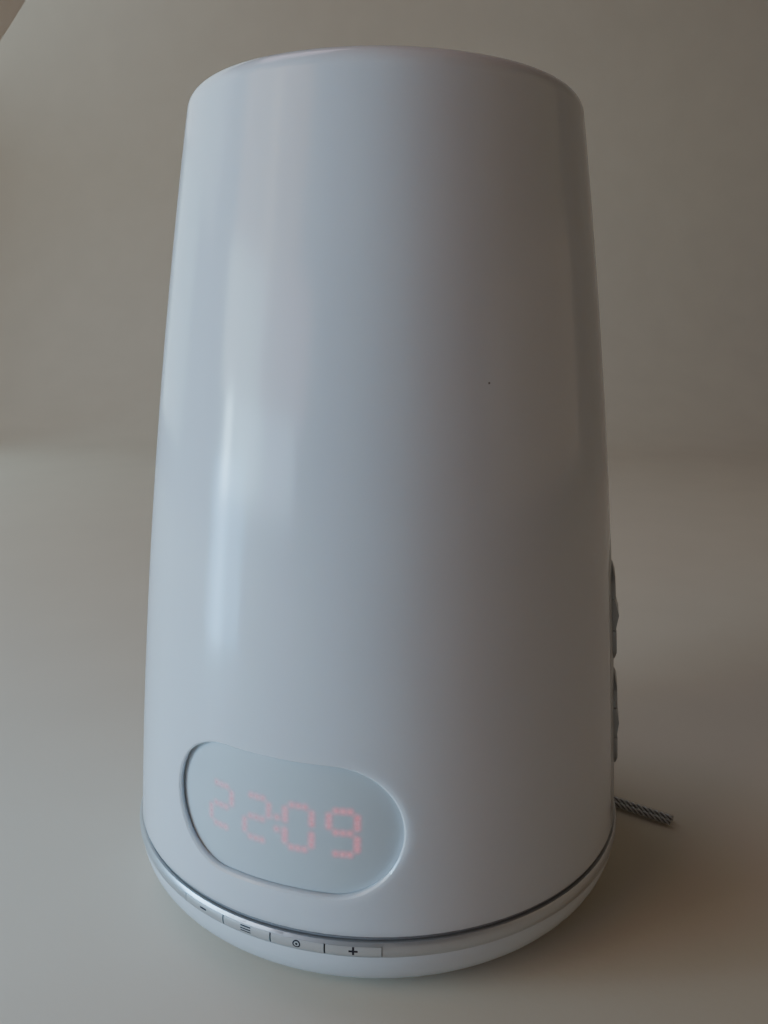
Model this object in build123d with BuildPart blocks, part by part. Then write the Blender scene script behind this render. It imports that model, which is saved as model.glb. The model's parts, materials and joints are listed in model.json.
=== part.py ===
from build123d import *
import math
import os

# A sunrise alarm clock: a tall milky lamp on a round base, with its clock in the lamp's foot.
# Millimetres. +Z is up, the clock face looks towards -Y, and the origin is the centre of the
# resting plane. An azimuth is measured from the front (-Y), positive towards +X.

os.makedirs("parts", exist_ok=True)

# ---------------------------------------------------------------- driving dimensions
OVERALL_HEIGHT = 254.5
WALL = 2.2  # the moulded shells
SEAM = 0.4  # the line between two shells
FACE_GAP = 0.05  # between curved faces that are glued or clipped together

# base bowl, a quarter ellipse in section
BOWL_FLAT_RADIUS = 67.0
BOWL_BOTTOM = 0.8
BOWL_OPENING_RADIUS = 61.0
BOWL_REBATE_RADIUS = 65.0
BOWL_FLOOR = 4.6
BOWL_WALL = 2.6

# silver band
BAND_BOTTOM = 16.6
BAND_TOP = 21.2
BAND_EDGE_RADIUS = 84.5
BAND_CREST_RADIUS = 85.2
BAND_INNER_RADIUS = 82.3
SPIGOT_THICKNESS = 2.4

# shade: radius and height of the skirt, the waist and the shoulder
SHADE_BOTTOM = 22.6
SHADE_FOOT_RADIUS = 84.05
SHADE_WAIST_RADIUS = 74.3
SHADE_WAIST_HEIGHT = 139.8
SHOULDER_RADIUS = 59.60
SHOULDER_HEIGHT = 250.0
SHOULDER_FILLET = 6.0
SKIRT = 10.0  # the outline is carried this low, then cut off
THROUGH = 100.0  # longer than any cut across the lamp
REACH = 40.0  # from an inner plane past the outer face

# rear cover, seen from the side
REAR_SEAM_Y = 22.5
REAR_TOP = 236.0
REAR_CORNER = 18.0

# side panel, seen from the side
PANEL_FRONT_Y = -5.0
PANEL_TOP = 119.0
PANEL_CORNER = 13.5

# display
DISPLAY_HEIGHT = 51.8
DISPLAY_WIDTH = 70.6
DISPLAY_TALL = 38.2
DISPLAY_BEVEL = 0.5
DISPLAY_LIP = 3.0
WINDOW_THICKNESS = 1.6
BOARD_FRONT_Y = -66.0
BOARD_THICKNESS = 1.6
DIGIT_RADIUS = 81.0
DIGIT_LEFT_AZIMUTHS = (-16.3, -7.36, 1.76, 10.74)
DIGIT_BOTTOM = 44.85
DOT_PITCH_X = 1.96
DOT_PITCH_Z = 1.533
COLON_HEIGHTS = (49.2, 52.65)
LED_SIZE = (1.2, 0.8, 0.8)

# front buttons, set in the band
FRONT_PITCH_DEG = 10.65
FRONT_NAMES = ("minus_button", "menu_button", "select_button", "plus_button")
FRONT_LOW = 17.2
FRONT_HIGH = 20.3
FRONT_GAP = 0.45
FRONT_EDGE_GAP = 0.06
FLANGE_LIP = 0.3  # how far a front button's flange reaches behind the slot's edges

# side buttons, in two rounded groups of three
SIDE_AZIMUTH = 96.0
SIDE_GROUP_HEIGHTS = {"light": 94.1, "sound": 57.0}
SIDE_GROUP_TALL = 33.7
SIDE_GROUP_WIDE = 13.0
SIDE_PITCH = 10.4  # between the middles of the switches, and the height of the middle button
SIDE_RAMP = 4.0  # the sloped end of each outer button
SIDE_GAP = 0.3
SIDE_PROUD = 1.0
SIDE_CRESTS = {"light": 1.85, "sound": 1.45}
SIDE_BOARD_RADIUS = 66.0
BUTTON_TRAVEL = 0.8

# inner structure
DECK_RADIUS = 82.5
DECK_LIP = (21.5, 22.15, 83.6)  # low, high and radius of the grey line in the joint
LOCATING_RING = (79.2, 81.2, 27.0)  # inner and outer radius, and height, of the ring inside the shells
DECK_INNER_RADIUS = 58.0
POST_CIRCLE = 64.0
POST_RADIUS = 4.0
LAMP_DECK_HEIGHT = 112.0
LAMP_DECK_RADIUS = 73.6
LAMP_DECK_THICKNESS = 1.5
HOLDER_RADIUS = 19.0
REFLECTOR_RADIUS = 50.0
MAIN_BOARD_HEIGHT = 9.0

# loudspeaker and mains inlet, in the rear cover
SPEAKER_HEIGHT = 72.0
SPEAKER_FACE_Y = 68.0
SPEAKER_RADIUS = 25.0
INLET_HEIGHT = 33.0
INLET_FACE_Y = 81.0

# aerial lead: a flat clear twin
LEAD_WIDTH = 6.2
LEAD_THICKNESS = 3.0
LEAD_LAY_HEIGHT = 1.7  # its middle, where it lies on the table
COIL_RADIUS = 31.0
COIL_CENTRE = (-42.0, 134.8)
COIL_TURNS = 2.5
COIL_PITCH = 3.2
COIL_BOTTOM_HEIGHT = 2.2  # the lowest turn's middle: the tie under it lifts it
STUB = 20.0
GROMMET_X = 16.0
GROMMET_FACE_Y = 73.5

# ---------------------------------------------------------------- shared outlines


def side_circle(inset):
    """Centre radius, centre height and radius of the arc through the shade's foot, waist and shoulder."""
    r1, z1 = SHADE_FOOT_RADIUS - inset, SHADE_BOTTOM
    r2, z2 = SHADE_WAIST_RADIUS - inset, SHADE_WAIST_HEIGHT
    r3, z3 = SHOULDER_RADIUS - inset, SHOULDER_HEIGHT
    turn = 2 * (r1 * (z2 - z3) + r2 * (z3 - z1) + r3 * (z1 - z2))
    s1, s2, s3 = r1**2 + z1**2, r2**2 + z2**2, r3**2 + z3**2
    centre_r = (s1 * (z2 - z3) + s2 * (z3 - z1) + s3 * (z1 - z2)) / turn
    centre_z = (s1 * (r3 - r2) + s2 * (r1 - r3) + s3 * (r2 - r1)) / turn
    return centre_r, centre_z, math.hypot(r1 - centre_r, z1 - centre_z)


def radius_at(height, inset=0.0):
    """Radius of the shade's outer face, moved in by inset, at a height."""
    centre_r, centre_z, radius = side_circle(inset)
    return centre_r + math.sqrt(radius**2 - (height - centre_z) ** 2)


def outline(inset):
    """Half section of the lamp above its band, moved in from the outer face by inset."""
    foot = (SHADE_FOOT_RADIUS - inset, SHADE_BOTTOM)
    waist = (SHADE_WAIST_RADIUS - inset, SHADE_WAIST_HEIGHT)
    shoulder = (SHOULDER_RADIUS - inset, SHOULDER_HEIGHT - inset)
    crown = (0, OVERALL_HEIGHT - inset)
    rise = crown[1] - shoulder[1]
    # the crown is part of a sphere, whose centre is on the axis
    sphere = (shoulder[0] ** 2 + rise**2) / (2 * rise)
    halfway = (shoulder[0] / 2, crown[1] - sphere + math.sqrt(sphere**2 - (shoulder[0] / 2) ** 2))
    with BuildSketch(Plane.XZ) as section:
        with BuildLine():
            ThreePointArc(foot, waist, shoulder)
            ThreePointArc(shoulder, halfway, crown)
            Polyline(crown, (0, SKIRT), (foot[0], SKIRT), foot)
        make_face()
        corner = section.vertices().sort_by_distance((*shoulder, 0))[0]
        fillet(corner, SHOULDER_FILLET - inset)
    return section.sketch


def outward(azimuth):
    """The level direction away from the axis at an azimuth."""
    angle = math.radians(azimuth)
    return Vector(math.sin(angle), -math.cos(angle), 0)


def sideways(azimuth):
    """The level direction of growing azimuth."""
    angle = math.radians(azimuth)
    return Vector(math.cos(angle), math.sin(angle), 0)


def facing(azimuth, distance):
    """Plane that faces outward at a distance from the axis: x is sideways, y is up."""
    return Plane(origin=outward(azimuth) * distance, x_dir=sideways(azimuth), z_dir=outward(azimuth))


def radial(azimuth):
    """Plane through the axis: x is outward, y is up."""
    return Plane(origin=(0, 0, 0), x_dir=outward(azimuth), z_dir=-sideways(azimuth))


def spot(azimuth, distance, height):
    """A point by azimuth, distance from the axis and height."""
    at = outward(azimuth) * distance
    return (at.X, at.Y, height)


def ring_slice(azimuth, r_in, r_out, z_low, z_high):
    """Rectangle on the radial plane at an azimuth, to be turned into a piece of a ring."""
    with BuildSketch(radial(azimuth)) as section:
        with Locations(((r_in + r_out) / 2, (z_low + z_high) / 2)):
            Rectangle(r_out - r_in, z_high - z_low)
    return section.sketch


def band_slice(azimuth, z_low, z_high):
    """The band's convex section between two heights, on the radial plane at an azimuth."""
    crest = (BAND_CREST_RADIUS, (BAND_BOTTOM + BAND_TOP) / 2)
    with BuildSketch(radial(azimuth)) as section:
        with BuildLine():
            ThreePointArc((BAND_EDGE_RADIUS, BAND_BOTTOM), crest, (BAND_EDGE_RADIUS, BAND_TOP))
            Polyline(
                (BAND_EDGE_RADIUS, BAND_TOP),
                (BAND_INNER_RADIUS, BAND_TOP),
                (BAND_INNER_RADIUS, BAND_BOTTOM),
                (BAND_EDGE_RADIUS, BAND_BOTTOM),
            )
        make_face()
        with Locations((BAND_CREST_RADIUS, (z_low + z_high) / 2)):
            Rectangle(10, z_high - z_low, mode=Mode.INTERSECT)
    return section.sketch


def rear_view(grow):
    """Side view of the rear cover's share of the shell."""
    far = BAND_CREST_RADIUS + 10
    with BuildSketch(Plane.YZ) as view:
        with BuildLine():
            FilletPolyline(
                (far, 0),
                (REAR_SEAM_Y - grow, 0),
                (REAR_SEAM_Y - grow, REAR_TOP + grow),
                (far, REAR_TOP + grow),
                radius=[0.5, REAR_CORNER],
            )
            Line((far, REAR_TOP + grow), (far, 0))
        make_face()
    return view.sketch


def panel_view(grow):
    """Side view of the side panel's share of the shell, up to the rear cover's seam."""
    back = REAR_SEAM_Y - SEAM + grow
    with BuildSketch(Plane.YZ) as view:
        with BuildLine():
            FilletPolyline(
                (PANEL_FRONT_Y - grow, 0),
                (PANEL_FRONT_Y - grow, PANEL_TOP + grow),
                (back, PANEL_TOP + grow),
                (back, 0),
                radius=[PANEL_CORNER, 0.5],
            )
            Line((back, 0), (PANEL_FRONT_Y - grow, 0))
        make_face()
    return view.sketch


# ---------------------------------------------------------------- shells of the lamp

HOLE_WIDTH = DISPLAY_WIDTH - 2 * DISPLAY_BEVEL
HOLE_TALL = DISPLAY_TALL - 2 * DISPLAY_BEVEL
FRONT = Plane.XZ.offset(-BOARD_FRONT_Y)

# shade: the translucent front shell and the whole crown
with BuildPart() as shade:
    revolve(outline(0), axis=Axis.Z)
    revolve(outline(WALL), axis=Axis.Z, mode=Mode.SUBTRACT)
    split(bisect_by=Plane.XY.offset(SHADE_BOTTOM), keep=Keep.TOP)
    extrude(rear_view(SEAM), amount=THROUGH, both=True, mode=Mode.SUBTRACT)
    extrude(panel_view(SEAM), amount=THROUGH, mode=Mode.SUBTRACT)
    with BuildSketch(FRONT):
        with Locations((0, DISPLAY_HEIGHT)):
            SlotOverall(HOLE_WIDTH, HOLE_TALL)
    extrude(amount=REACH, mode=Mode.SUBTRACT)
    rim = [
        edge
        for edge in shade.edges(Select.LAST)
        if abs(math.hypot((edge @ 0.5).X, (edge @ 0.5).Y) - radius_at((edge @ 0.5).Z)) < 0.3
    ]
    chamfer(rim, DISPLAY_BEVEL)
shade.part.label = "shade"
export_step(shade.part, "parts/shade.step")

# rear cover: the opaque back, with loudspeaker slots, heat vents, the inlet's hole and screw bosses
GRILLE_PITCH = 5.0
GRILLE_SLOT = 2.2
GRILLE_RADIUS = 23.0
VENT_ROWS = (196.0, 206.0, 216.0)
VENT_PITCH = 16.0
COVER_SCREW_X = POST_CIRCLE * math.sin(math.radians(45))
COVER_SCREW_HEIGHTS = (34.0, 98.0)
COVER_SCREW_HEAD_Y = 62.0
SPEAKER_SCREW = 24.5
INLET_WIDE = 26.0
INLET_TALL = 17.0

with BuildPart() as rear_cover:
    revolve(outline(0), axis=Axis.Z)
    revolve(outline(WALL), axis=Axis.Z, mode=Mode.SUBTRACT)
    split(bisect_by=Plane.XY.offset(SHADE_BOTTOM), keep=Keep.TOP)
    extrude(rear_view(0), amount=THROUGH, both=True, mode=Mode.INTERSECT)
    # bosses for the cover's screws and for the loudspeaker's, run into the wall and trimmed to it
    with BuildPart(mode=Mode.PRIVATE) as bosses:
        with BuildSketch(Plane.XZ.offset(-(COVER_SCREW_X + POST_RADIUS + 0.2))):
            with Locations([(x, z) for x in (-COVER_SCREW_X, COVER_SCREW_X) for z in COVER_SCREW_HEIGHTS]):
                Circle(5)
        extrude(amount=-REACH)
        with BuildSketch(Plane.XZ.offset(-SPEAKER_FACE_Y)):
            with Locations((0, SPEAKER_HEIGHT)):
                with GridLocations(2 * SPEAKER_SCREW, 2 * SPEAKER_SCREW, 2, 2):
                    Circle(3)
        extrude(amount=-20)
        revolve(outline(WALL / 2), axis=Axis.Z, mode=Mode.INTERSECT)
    add(bosses.part)
    # counterbores and clearance holes of the cover's screws
    with BuildSketch(Plane.XZ.offset(-COVER_SCREW_HEAD_Y)):
        with Locations([(x, z) for x in (-COVER_SCREW_X, COVER_SCREW_X) for z in COVER_SCREW_HEIGHTS]):
            Circle(3.4)
    extrude(amount=-REACH, mode=Mode.SUBTRACT)
    with BuildSketch(Plane.XZ):
        with Locations([(x, z) for x in (-COVER_SCREW_X, COVER_SCREW_X) for z in COVER_SCREW_HEIGHTS]):
            Circle(1.7)
    extrude(amount=-THROUGH, mode=Mode.SUBTRACT)
    # pilot holes of the loudspeaker's screws
    with BuildSketch(Plane.XZ.offset(-SPEAKER_FACE_Y)):
        with Locations((0, SPEAKER_HEIGHT)):
            with GridLocations(2 * SPEAKER_SCREW, 2 * SPEAKER_SCREW, 2, 2):
                Circle(1.0)
    extrude(amount=-3.6, mode=Mode.SUBTRACT)
    # loudspeaker slots, as tall as the cone behind them
    with BuildSketch(Plane.XZ.offset(-SPEAKER_FACE_Y)):
        for i in range(-4, 5):
            x = i * GRILLE_PITCH
            with Locations((x, SPEAKER_HEIGHT)):
                SlotOverall(2 * math.sqrt(GRILLE_RADIUS**2 - x**2), GRILLE_SLOT, rotation=90)
    extrude(amount=-REACH, mode=Mode.SUBTRACT)
    # heat vents
    with BuildSketch(Plane.XZ.offset(-40)):
        for height in VENT_ROWS:
            with Locations((0, height)):
                with GridLocations(VENT_PITCH, 1, 3, 1):
                    SlotOverall(13, 2.4)
    extrude(amount=-REACH, mode=Mode.SUBTRACT)
    # the inlet's hole
    with BuildSketch(Plane.XZ.offset(-60)):
        with Locations((0, INLET_HEIGHT)):
            Rectangle(INLET_WIDE + 0.4, INLET_TALL + 0.4)
    extrude(amount=-REACH, mode=Mode.SUBTRACT)
rear_cover.part.label = "rear_cover"
export_step(rear_cover.part, "parts/rear_cover.step")

# side panel, flush in the right side, with the holes of the two button groups
with BuildPart() as side_panel:
    revolve(outline(0), axis=Axis.Z)
    revolve(outline(WALL), axis=Axis.Z, mode=Mode.SUBTRACT)
    split(bisect_by=Plane.XY.offset(SHADE_BOTTOM), keep=Keep.TOP)
    extrude(panel_view(0), amount=THROUGH, mode=Mode.INTERSECT)
    with BuildSketch(facing(SIDE_AZIMUTH, SIDE_BOARD_RADIUS)):
        with Locations([(0, height) for height in SIDE_GROUP_HEIGHTS.values()]):
            SlotOverall(SIDE_GROUP_TALL, SIDE_GROUP_WIDE, rotation=90)
    extrude(amount=REACH, mode=Mode.SUBTRACT)
side_panel.part.label = "side_panel"
export_step(side_panel.part, "parts/side_panel.step")

# ---------------------------------------------------------------- side buttons

SIDE_SLICES = {"up": 1, "switch": 0, "down": -1}
FLANGE_WIDE = SIDE_GROUP_WIDE + 3.0
FLANGE_BACK = 1.8  # the flange's back, behind the shell's inner face
FLANGE_THICKNESS = 1.0
FLANGE_TALL = 8.0
CAP_REACH = 20.0  # longer than the caps, which are then cut back to their faces
TENT_FOOT = 0.7  # the middle button's face at its seams, proud of the shell
RAMP_FOOT = 0.1  # an outer button's face at its far end, proud of the shell
CREST_FILLET = 0.4
SIDE_STEM_RADIUS = 1.5
SWITCH_BODY = 3.5
SWITCH_NUB = 0.7
STEM_END = SIDE_BOARD_RADIUS + BOARD_THICKNESS + SWITCH_BODY + SWITCH_NUB + BUTTON_TRAVEL + 0.2

for group, group_height in SIDE_GROUP_HEIGHTS.items():
    for part_name, step in SIDE_SLICES.items():
        switch_height = group_height + step * SIDE_PITCH
        seam = SIDE_PITCH / 2
        end = SIDE_GROUP_TALL / 2
        span = {"up": (seam, end), "switch": (-seam, seam), "down": (-end, -seam)}[part_name]
        low = group_height + span[0] + SIDE_GAP / 2
        high = group_height + span[1] - SIDE_GAP / 2
        inner_face = radius_at(high, WALL)
        near, far = (high, low) if step < 0 else (low, high)
        with BuildPart() as side_button:
            # the cap: a slice of the rounded group, its face a little proud of the shell
            with BuildSketch(facing(SIDE_AZIMUTH, inner_face - FLANGE_BACK)):
                with Locations((0, group_height)):
                    tall = SIDE_GROUP_TALL - 2 * SIDE_GAP
                    SlotOverall(tall, SIDE_GROUP_WIDE - 2 * SIDE_GAP, rotation=90)
                with Locations((0, (low + high) / 2)):
                    Rectangle(2 * SIDE_GROUP_WIDE, high - low, mode=Mode.INTERSECT)
            extrude(amount=CAP_REACH)
            with BuildSketch(radial(SIDE_AZIMUTH)):
                with BuildLine():
                    back = inner_face - 5
                    if step:
                        # the face follows the shell, then slopes down to it at the far end
                        ramp = far - step * SIDE_RAMP
                        middle = (near + ramp) / 2
                        begin = (radius_at(near - step, -SIDE_PROUD), near - step)
                        bend = (radius_at(ramp, -SIDE_PROUD), ramp)
                        ThreePointArc(begin, (radius_at(middle, -SIDE_PROUD), middle), bend)
                        Line(bend, (radius_at(far, -RAMP_FOOT), far))
                        tail = (radius_at(far, -RAMP_FOOT), far + step)
                        Line((radius_at(far, -RAMP_FOOT), far), tail)
                    else:
                        # the middle button is a low tent, with its ridge level
                        begin = (radius_at(low, -TENT_FOOT), low - 1)
                        tail = (radius_at(high, -TENT_FOOT), high + 1)
                        Polyline(
                            begin,
                            (radius_at(low, -TENT_FOOT), low),
                            (radius_at(switch_height, -SIDE_CRESTS[group]), switch_height),
                            (radius_at(high, -TENT_FOOT), high),
                            tail,
                        )
                    Polyline(tail, (back, tail[1]), (back, begin[1]), begin)
                make_face()
            extrude(amount=SIDE_GROUP_WIDE, both=True, mode=Mode.INTERSECT)
            if step:
                faces_out = [
                    face
                    for face in side_button.faces()
                    if face.normal_at().dot(outward(SIDE_AZIMUTH)) > 0.5
                ]
                crest = [
                    edge
                    for edge in side_button.edges()
                    if sum(any(edge.is_same(other) for other in face.edges()) for face in faces_out) == 1
                ]
                fillet(crest, CREST_FILLET)
            # the flange that keeps the button in, and the stem that works its switch
            with BuildSketch(facing(SIDE_AZIMUTH, inner_face - FLANGE_BACK)):
                with Locations((0, switch_height)):
                    Rectangle(FLANGE_WIDE, FLANGE_TALL)
            extrude(amount=FLANGE_THICKNESS)
            with BuildSketch(facing(SIDE_AZIMUTH, STEM_END)):
                with Locations((0, switch_height)):
                    Circle(SIDE_STEM_RADIUS)
            extrude(amount=inner_face - FLANGE_BACK + FLANGE_THICKNESS / 2 - STEM_END)
        side_button.part.label = f"{group}_{part_name}_button"
        export_step(side_button.part, f"parts/{group}_{part_name}_button.step")

# ---------------------------------------------------------------- band and front buttons

BUTTON_FIELD_DEG = 4 * FRONT_PITCH_DEG
HALF_GAP_DEG = math.degrees(FRONT_GAP / 2 / BAND_EDGE_RADIUS)
FLANGE_INNER = 81.0
FLANGE_OUTER = 82.1
PLUNGER_INNER = 79.8
STRIP_RADIUS = 77.2
STRIP_THICKNESS = 0.6
DOME_HEIGHT = 0.9

# band: the silver ring, with the slot that the front buttons fill
with BuildPart() as band_trim:
    revolve(band_slice(0, BAND_BOTTOM, BAND_TOP), axis=Axis.Z)
    slot_section = ring_slice(-BUTTON_FIELD_DEG / 2, 80, 90, FRONT_LOW, FRONT_HIGH)
    revolve(slot_section, axis=Axis.Z, revolution_arc=BUTTON_FIELD_DEG, mode=Mode.SUBTRACT)
band_trim.part.label = "band_trim"
export_step(band_trim.part, "parts/band_trim.step")

for i, button_name in enumerate(FRONT_NAMES):
    start = (i - 2) * FRONT_PITCH_DEG + HALF_GAP_DEG
    width = FRONT_PITCH_DEG - 2 * HALF_GAP_DEG
    middle = start + width / 2
    cap_section = band_slice(start, FRONT_LOW + FRONT_EDGE_GAP, FRONT_HIGH - FRONT_EDGE_GAP)
    flange_section = ring_slice(start, FLANGE_INNER, FLANGE_OUTER, FRONT_LOW - FLANGE_LIP, FRONT_HIGH + FLANGE_LIP)
    neck_section = ring_slice(
        start, FLANGE_OUTER, BAND_INNER_RADIUS, FRONT_LOW + FRONT_EDGE_GAP, FRONT_HIGH - FRONT_EDGE_GAP
    )
    with BuildPart() as front_button:
        revolve(cap_section, axis=Axis.Z, revolution_arc=width)
        revolve(neck_section, axis=Axis.Z, revolution_arc=width)
        revolve(flange_section, axis=Axis.Z, revolution_arc=width)
        with BuildSketch(facing(middle, PLUNGER_INNER)):
            with Locations((0, (FRONT_LOW + FRONT_HIGH) / 2)):
                Circle(1.2)
        extrude(amount=2)
    front_button.part.label = button_name
    export_step(front_button.part, f"parts/{button_name}.step")

# the flexible strip behind the front buttons, and its four snap domes
with BuildPart() as front_switch_strip:
    strip_section = ring_slice(-23, STRIP_RADIUS, STRIP_RADIUS + STRIP_THICKNESS, 16.9, 20.9)
    revolve(strip_section, axis=Axis.Z, revolution_arc=46)
front_switch_strip.part.label = "front_switch_strip"
export_step(front_switch_strip.part, "parts/front_switch_strip.step")

with BuildPart() as front_switch_domes:
    for i in range(4):
        with BuildSketch(facing((i - 1.5) * FRONT_PITCH_DEG, STRIP_RADIUS + STRIP_THICKNESS)):
            with Locations((0, (FRONT_LOW + FRONT_HIGH) / 2)):
                Circle(1.5)
        extrude(amount=DOME_HEIGHT)
front_switch_domes.part.label = "front_switch_domes"
export_step(front_switch_domes.part, "parts/front_switch_domes.step")

# ---------------------------------------------------------------- base

SPIGOT_INNER = BAND_INNER_RADIUS - 0.1 - SPIGOT_THICKNESS
PLATE_SCREW_CIRCLE = 62.0
PLATE_SCREW_HEAD = 1.6
FOOT_CIRCLE = 48.0
FOOT_RADIUS = 7.0
FOOT_THICKNESS = 2.0
GROMMET_WIDE = 9.2
GROMMET_TOP = 5.0


def quarter_ellipse(inset):
    """The bowl's quarter ellipse, filled in to the opening, moved in by inset."""
    across = BAND_EDGE_RADIUS - BOWL_FLAT_RADIUS - inset
    down = BAND_BOTTOM - BOWL_BOTTOM - inset
    low = BAND_BOTTOM - down
    with BuildSketch() as section:
        with BuildLine():
            EllipticalCenterArc((BOWL_FLAT_RADIUS, BAND_BOTTOM), across, down, -90, arc_size=90)
            Polyline(
                (BOWL_FLAT_RADIUS + across, BAND_BOTTOM),
                (BOWL_OPENING_RADIUS, BAND_BOTTOM),
                (BOWL_OPENING_RADIUS, low),
                (BOWL_FLAT_RADIUS, low),
            )
        make_face()
    return section.sketch


with BuildSketch(Plane.XZ) as bowl_section:
    add(quarter_ellipse(0))
    add(quarter_ellipse(BOWL_WALL), mode=Mode.SUBTRACT)
    for x_low, x_high, y_low, y_high, mode in (
        (BOWL_OPENING_RADIUS, BOWL_FLAT_RADIUS + 2, BOWL_BOTTOM, BOWL_FLOOR, Mode.ADD),
        (BOWL_OPENING_RADIUS - 1, BOWL_REBATE_RADIUS, 0, BOWL_BOTTOM + 2.0, Mode.SUBTRACT),
        (SPIGOT_INNER, SPIGOT_INNER + SPIGOT_THICKNESS, 9.0, BAND_TOP, Mode.ADD),
    ):
        with Locations(((x_low + x_high) / 2, (y_low + y_high) / 2)):
            Rectangle(x_high - x_low, y_high - y_low, mode=mode)

# bowl: the white base, with the spigot that the band and the chassis sit on
with BuildPart() as base_bowl:
    revolve(bowl_section.sketch, axis=Axis.Z)
    # the bosses of the plate's screws
    with BuildSketch(Plane.XY.offset(BOWL_BOTTOM + 2.0)):
        with PolarLocations(PLATE_SCREW_CIRCLE, 4):
            Circle(3)
    extrude(amount=9)
    with BuildSketch(Plane.XY):
        with PolarLocations(PLATE_SCREW_CIRCLE, 4):
            Circle(1.25)
    extrude(amount=10.4, mode=Mode.SUBTRACT)
    # room behind the front buttons
    front_room = ring_slice(-24, SPIGOT_INNER - 1, BAND_INNER_RADIUS + 0.05, BAND_BOTTOM, BAND_TOP + 1)
    revolve(front_room, axis=Axis.Z, revolution_arc=48, mode=Mode.SUBTRACT)
    # the notch that the aerial lead leaves by
    with BuildSketch(Plane.XZ.offset(-60)):
        with Locations((GROMMET_X, GROMMET_TOP / 2)):
            Rectangle(GROMMET_WIDE, GROMMET_TOP)
    extrude(amount=-REACH, mode=Mode.SUBTRACT)
base_bowl.part.label = "base_bowl"
export_step(base_bowl.part, "parts/base_bowl.step")

# base plate, let into the bowl from below, with standoffs for the main board
BOARD_LONG = 90.0
BOARD_WIDE = 64.0
STANDOFF_X = BOARD_LONG / 2 - 5
STANDOFF_Y = BOARD_WIDE / 2 - 5

with BuildPart() as base_plate:
    with BuildSketch(Plane.XY.offset(BOWL_BOTTOM)):
        Circle(BOWL_REBATE_RADIUS - 0.2)
    extrude(amount=2.0)
    with BuildSketch(Plane.XY.offset(BOWL_BOTTOM + 2.0)):
        with GridLocations(2 * STANDOFF_X, 2 * STANDOFF_Y, 2, 2):
            Circle(3.2)
    extrude(amount=MAIN_BOARD_HEIGHT - BOWL_BOTTOM - 2.0)
    with BuildSketch(Plane.XY):
        with PolarLocations(FOOT_CIRCLE, 4, start_angle=45):
            Circle(FOOT_RADIUS)
    extrude(amount=FOOT_THICKNESS, mode=Mode.SUBTRACT)
    with BuildSketch(Plane.XY):
        with PolarLocations(PLATE_SCREW_CIRCLE, 4):
            Circle(1.5)
        with GridLocations(2 * STANDOFF_X, 2 * STANDOFF_Y, 2, 2):
            Circle(1.25)
    extrude(amount=MAIN_BOARD_HEIGHT + 1, mode=Mode.SUBTRACT)
    with BuildSketch(Plane.XY):
        with PolarLocations(PLATE_SCREW_CIRCLE, 4):
            Circle(2.5)
    extrude(amount=BOWL_BOTTOM + 0.1 + PLATE_SCREW_HEAD, mode=Mode.SUBTRACT)
    # slots that let cool air in
    with BuildSketch(Plane.XY):
        with PolarLocations(24, 10):
            SlotOverall(14, 2.4)
    extrude(amount=4, mode=Mode.SUBTRACT)
base_plate.part.label = "base_plate"
export_step(base_plate.part, "parts/base_plate.step")

with BuildPart() as rubber_feet:
    with BuildSketch(Plane.XY):
        with PolarLocations(FOOT_CIRCLE, 4, start_angle=45):
            Circle(FOOT_RADIUS)
    extrude(amount=FOOT_THICKNESS)
rubber_feet.part.label = "rubber_feet"
export_step(rubber_feet.part, "parts/rubber_feet.step")

with BuildPart() as plate_screws:
    with BuildSketch(Plane.XY.offset(BOWL_BOTTOM + 0.1)):
        with PolarLocations(PLATE_SCREW_CIRCLE, 4):
            Circle(2.3)
    extrude(amount=PLATE_SCREW_HEAD)
    with BuildSketch(Plane.XY.offset(BOWL_BOTTOM + 0.1 + PLATE_SCREW_HEAD)):
        with PolarLocations(PLATE_SCREW_CIRCLE, 4):
            Circle(1.2)
    extrude(amount=7)
    with BuildSketch(Plane.XY):
        with PolarLocations(PLATE_SCREW_CIRCLE, 4):
            Rectangle(3.2, 0.7)
            Rectangle(0.7, 3.2)
    extrude(amount=BOWL_BOTTOM + 0.9, mode=Mode.SUBTRACT)
plate_screws.part.label = "plate_screws"
export_step(plate_screws.part, "parts/plate_screws.step")

# ---------------------------------------------------------------- chassis and lamp

SIDE_BRACKET_RADIUS = SIDE_BOARD_RADIUS - 2.0
SIDE_BOARD_TOP = 110.0
SIDE_BOARD_WIDE = 20.0
DISPLAY_BOARD_WIDE = 68.0
DISPLAY_BOARD_TALL = 38.0
POST_ANGLES = (45, 135, 225, 315)
DECK_SCREW_LENGTH = 9.0

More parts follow.
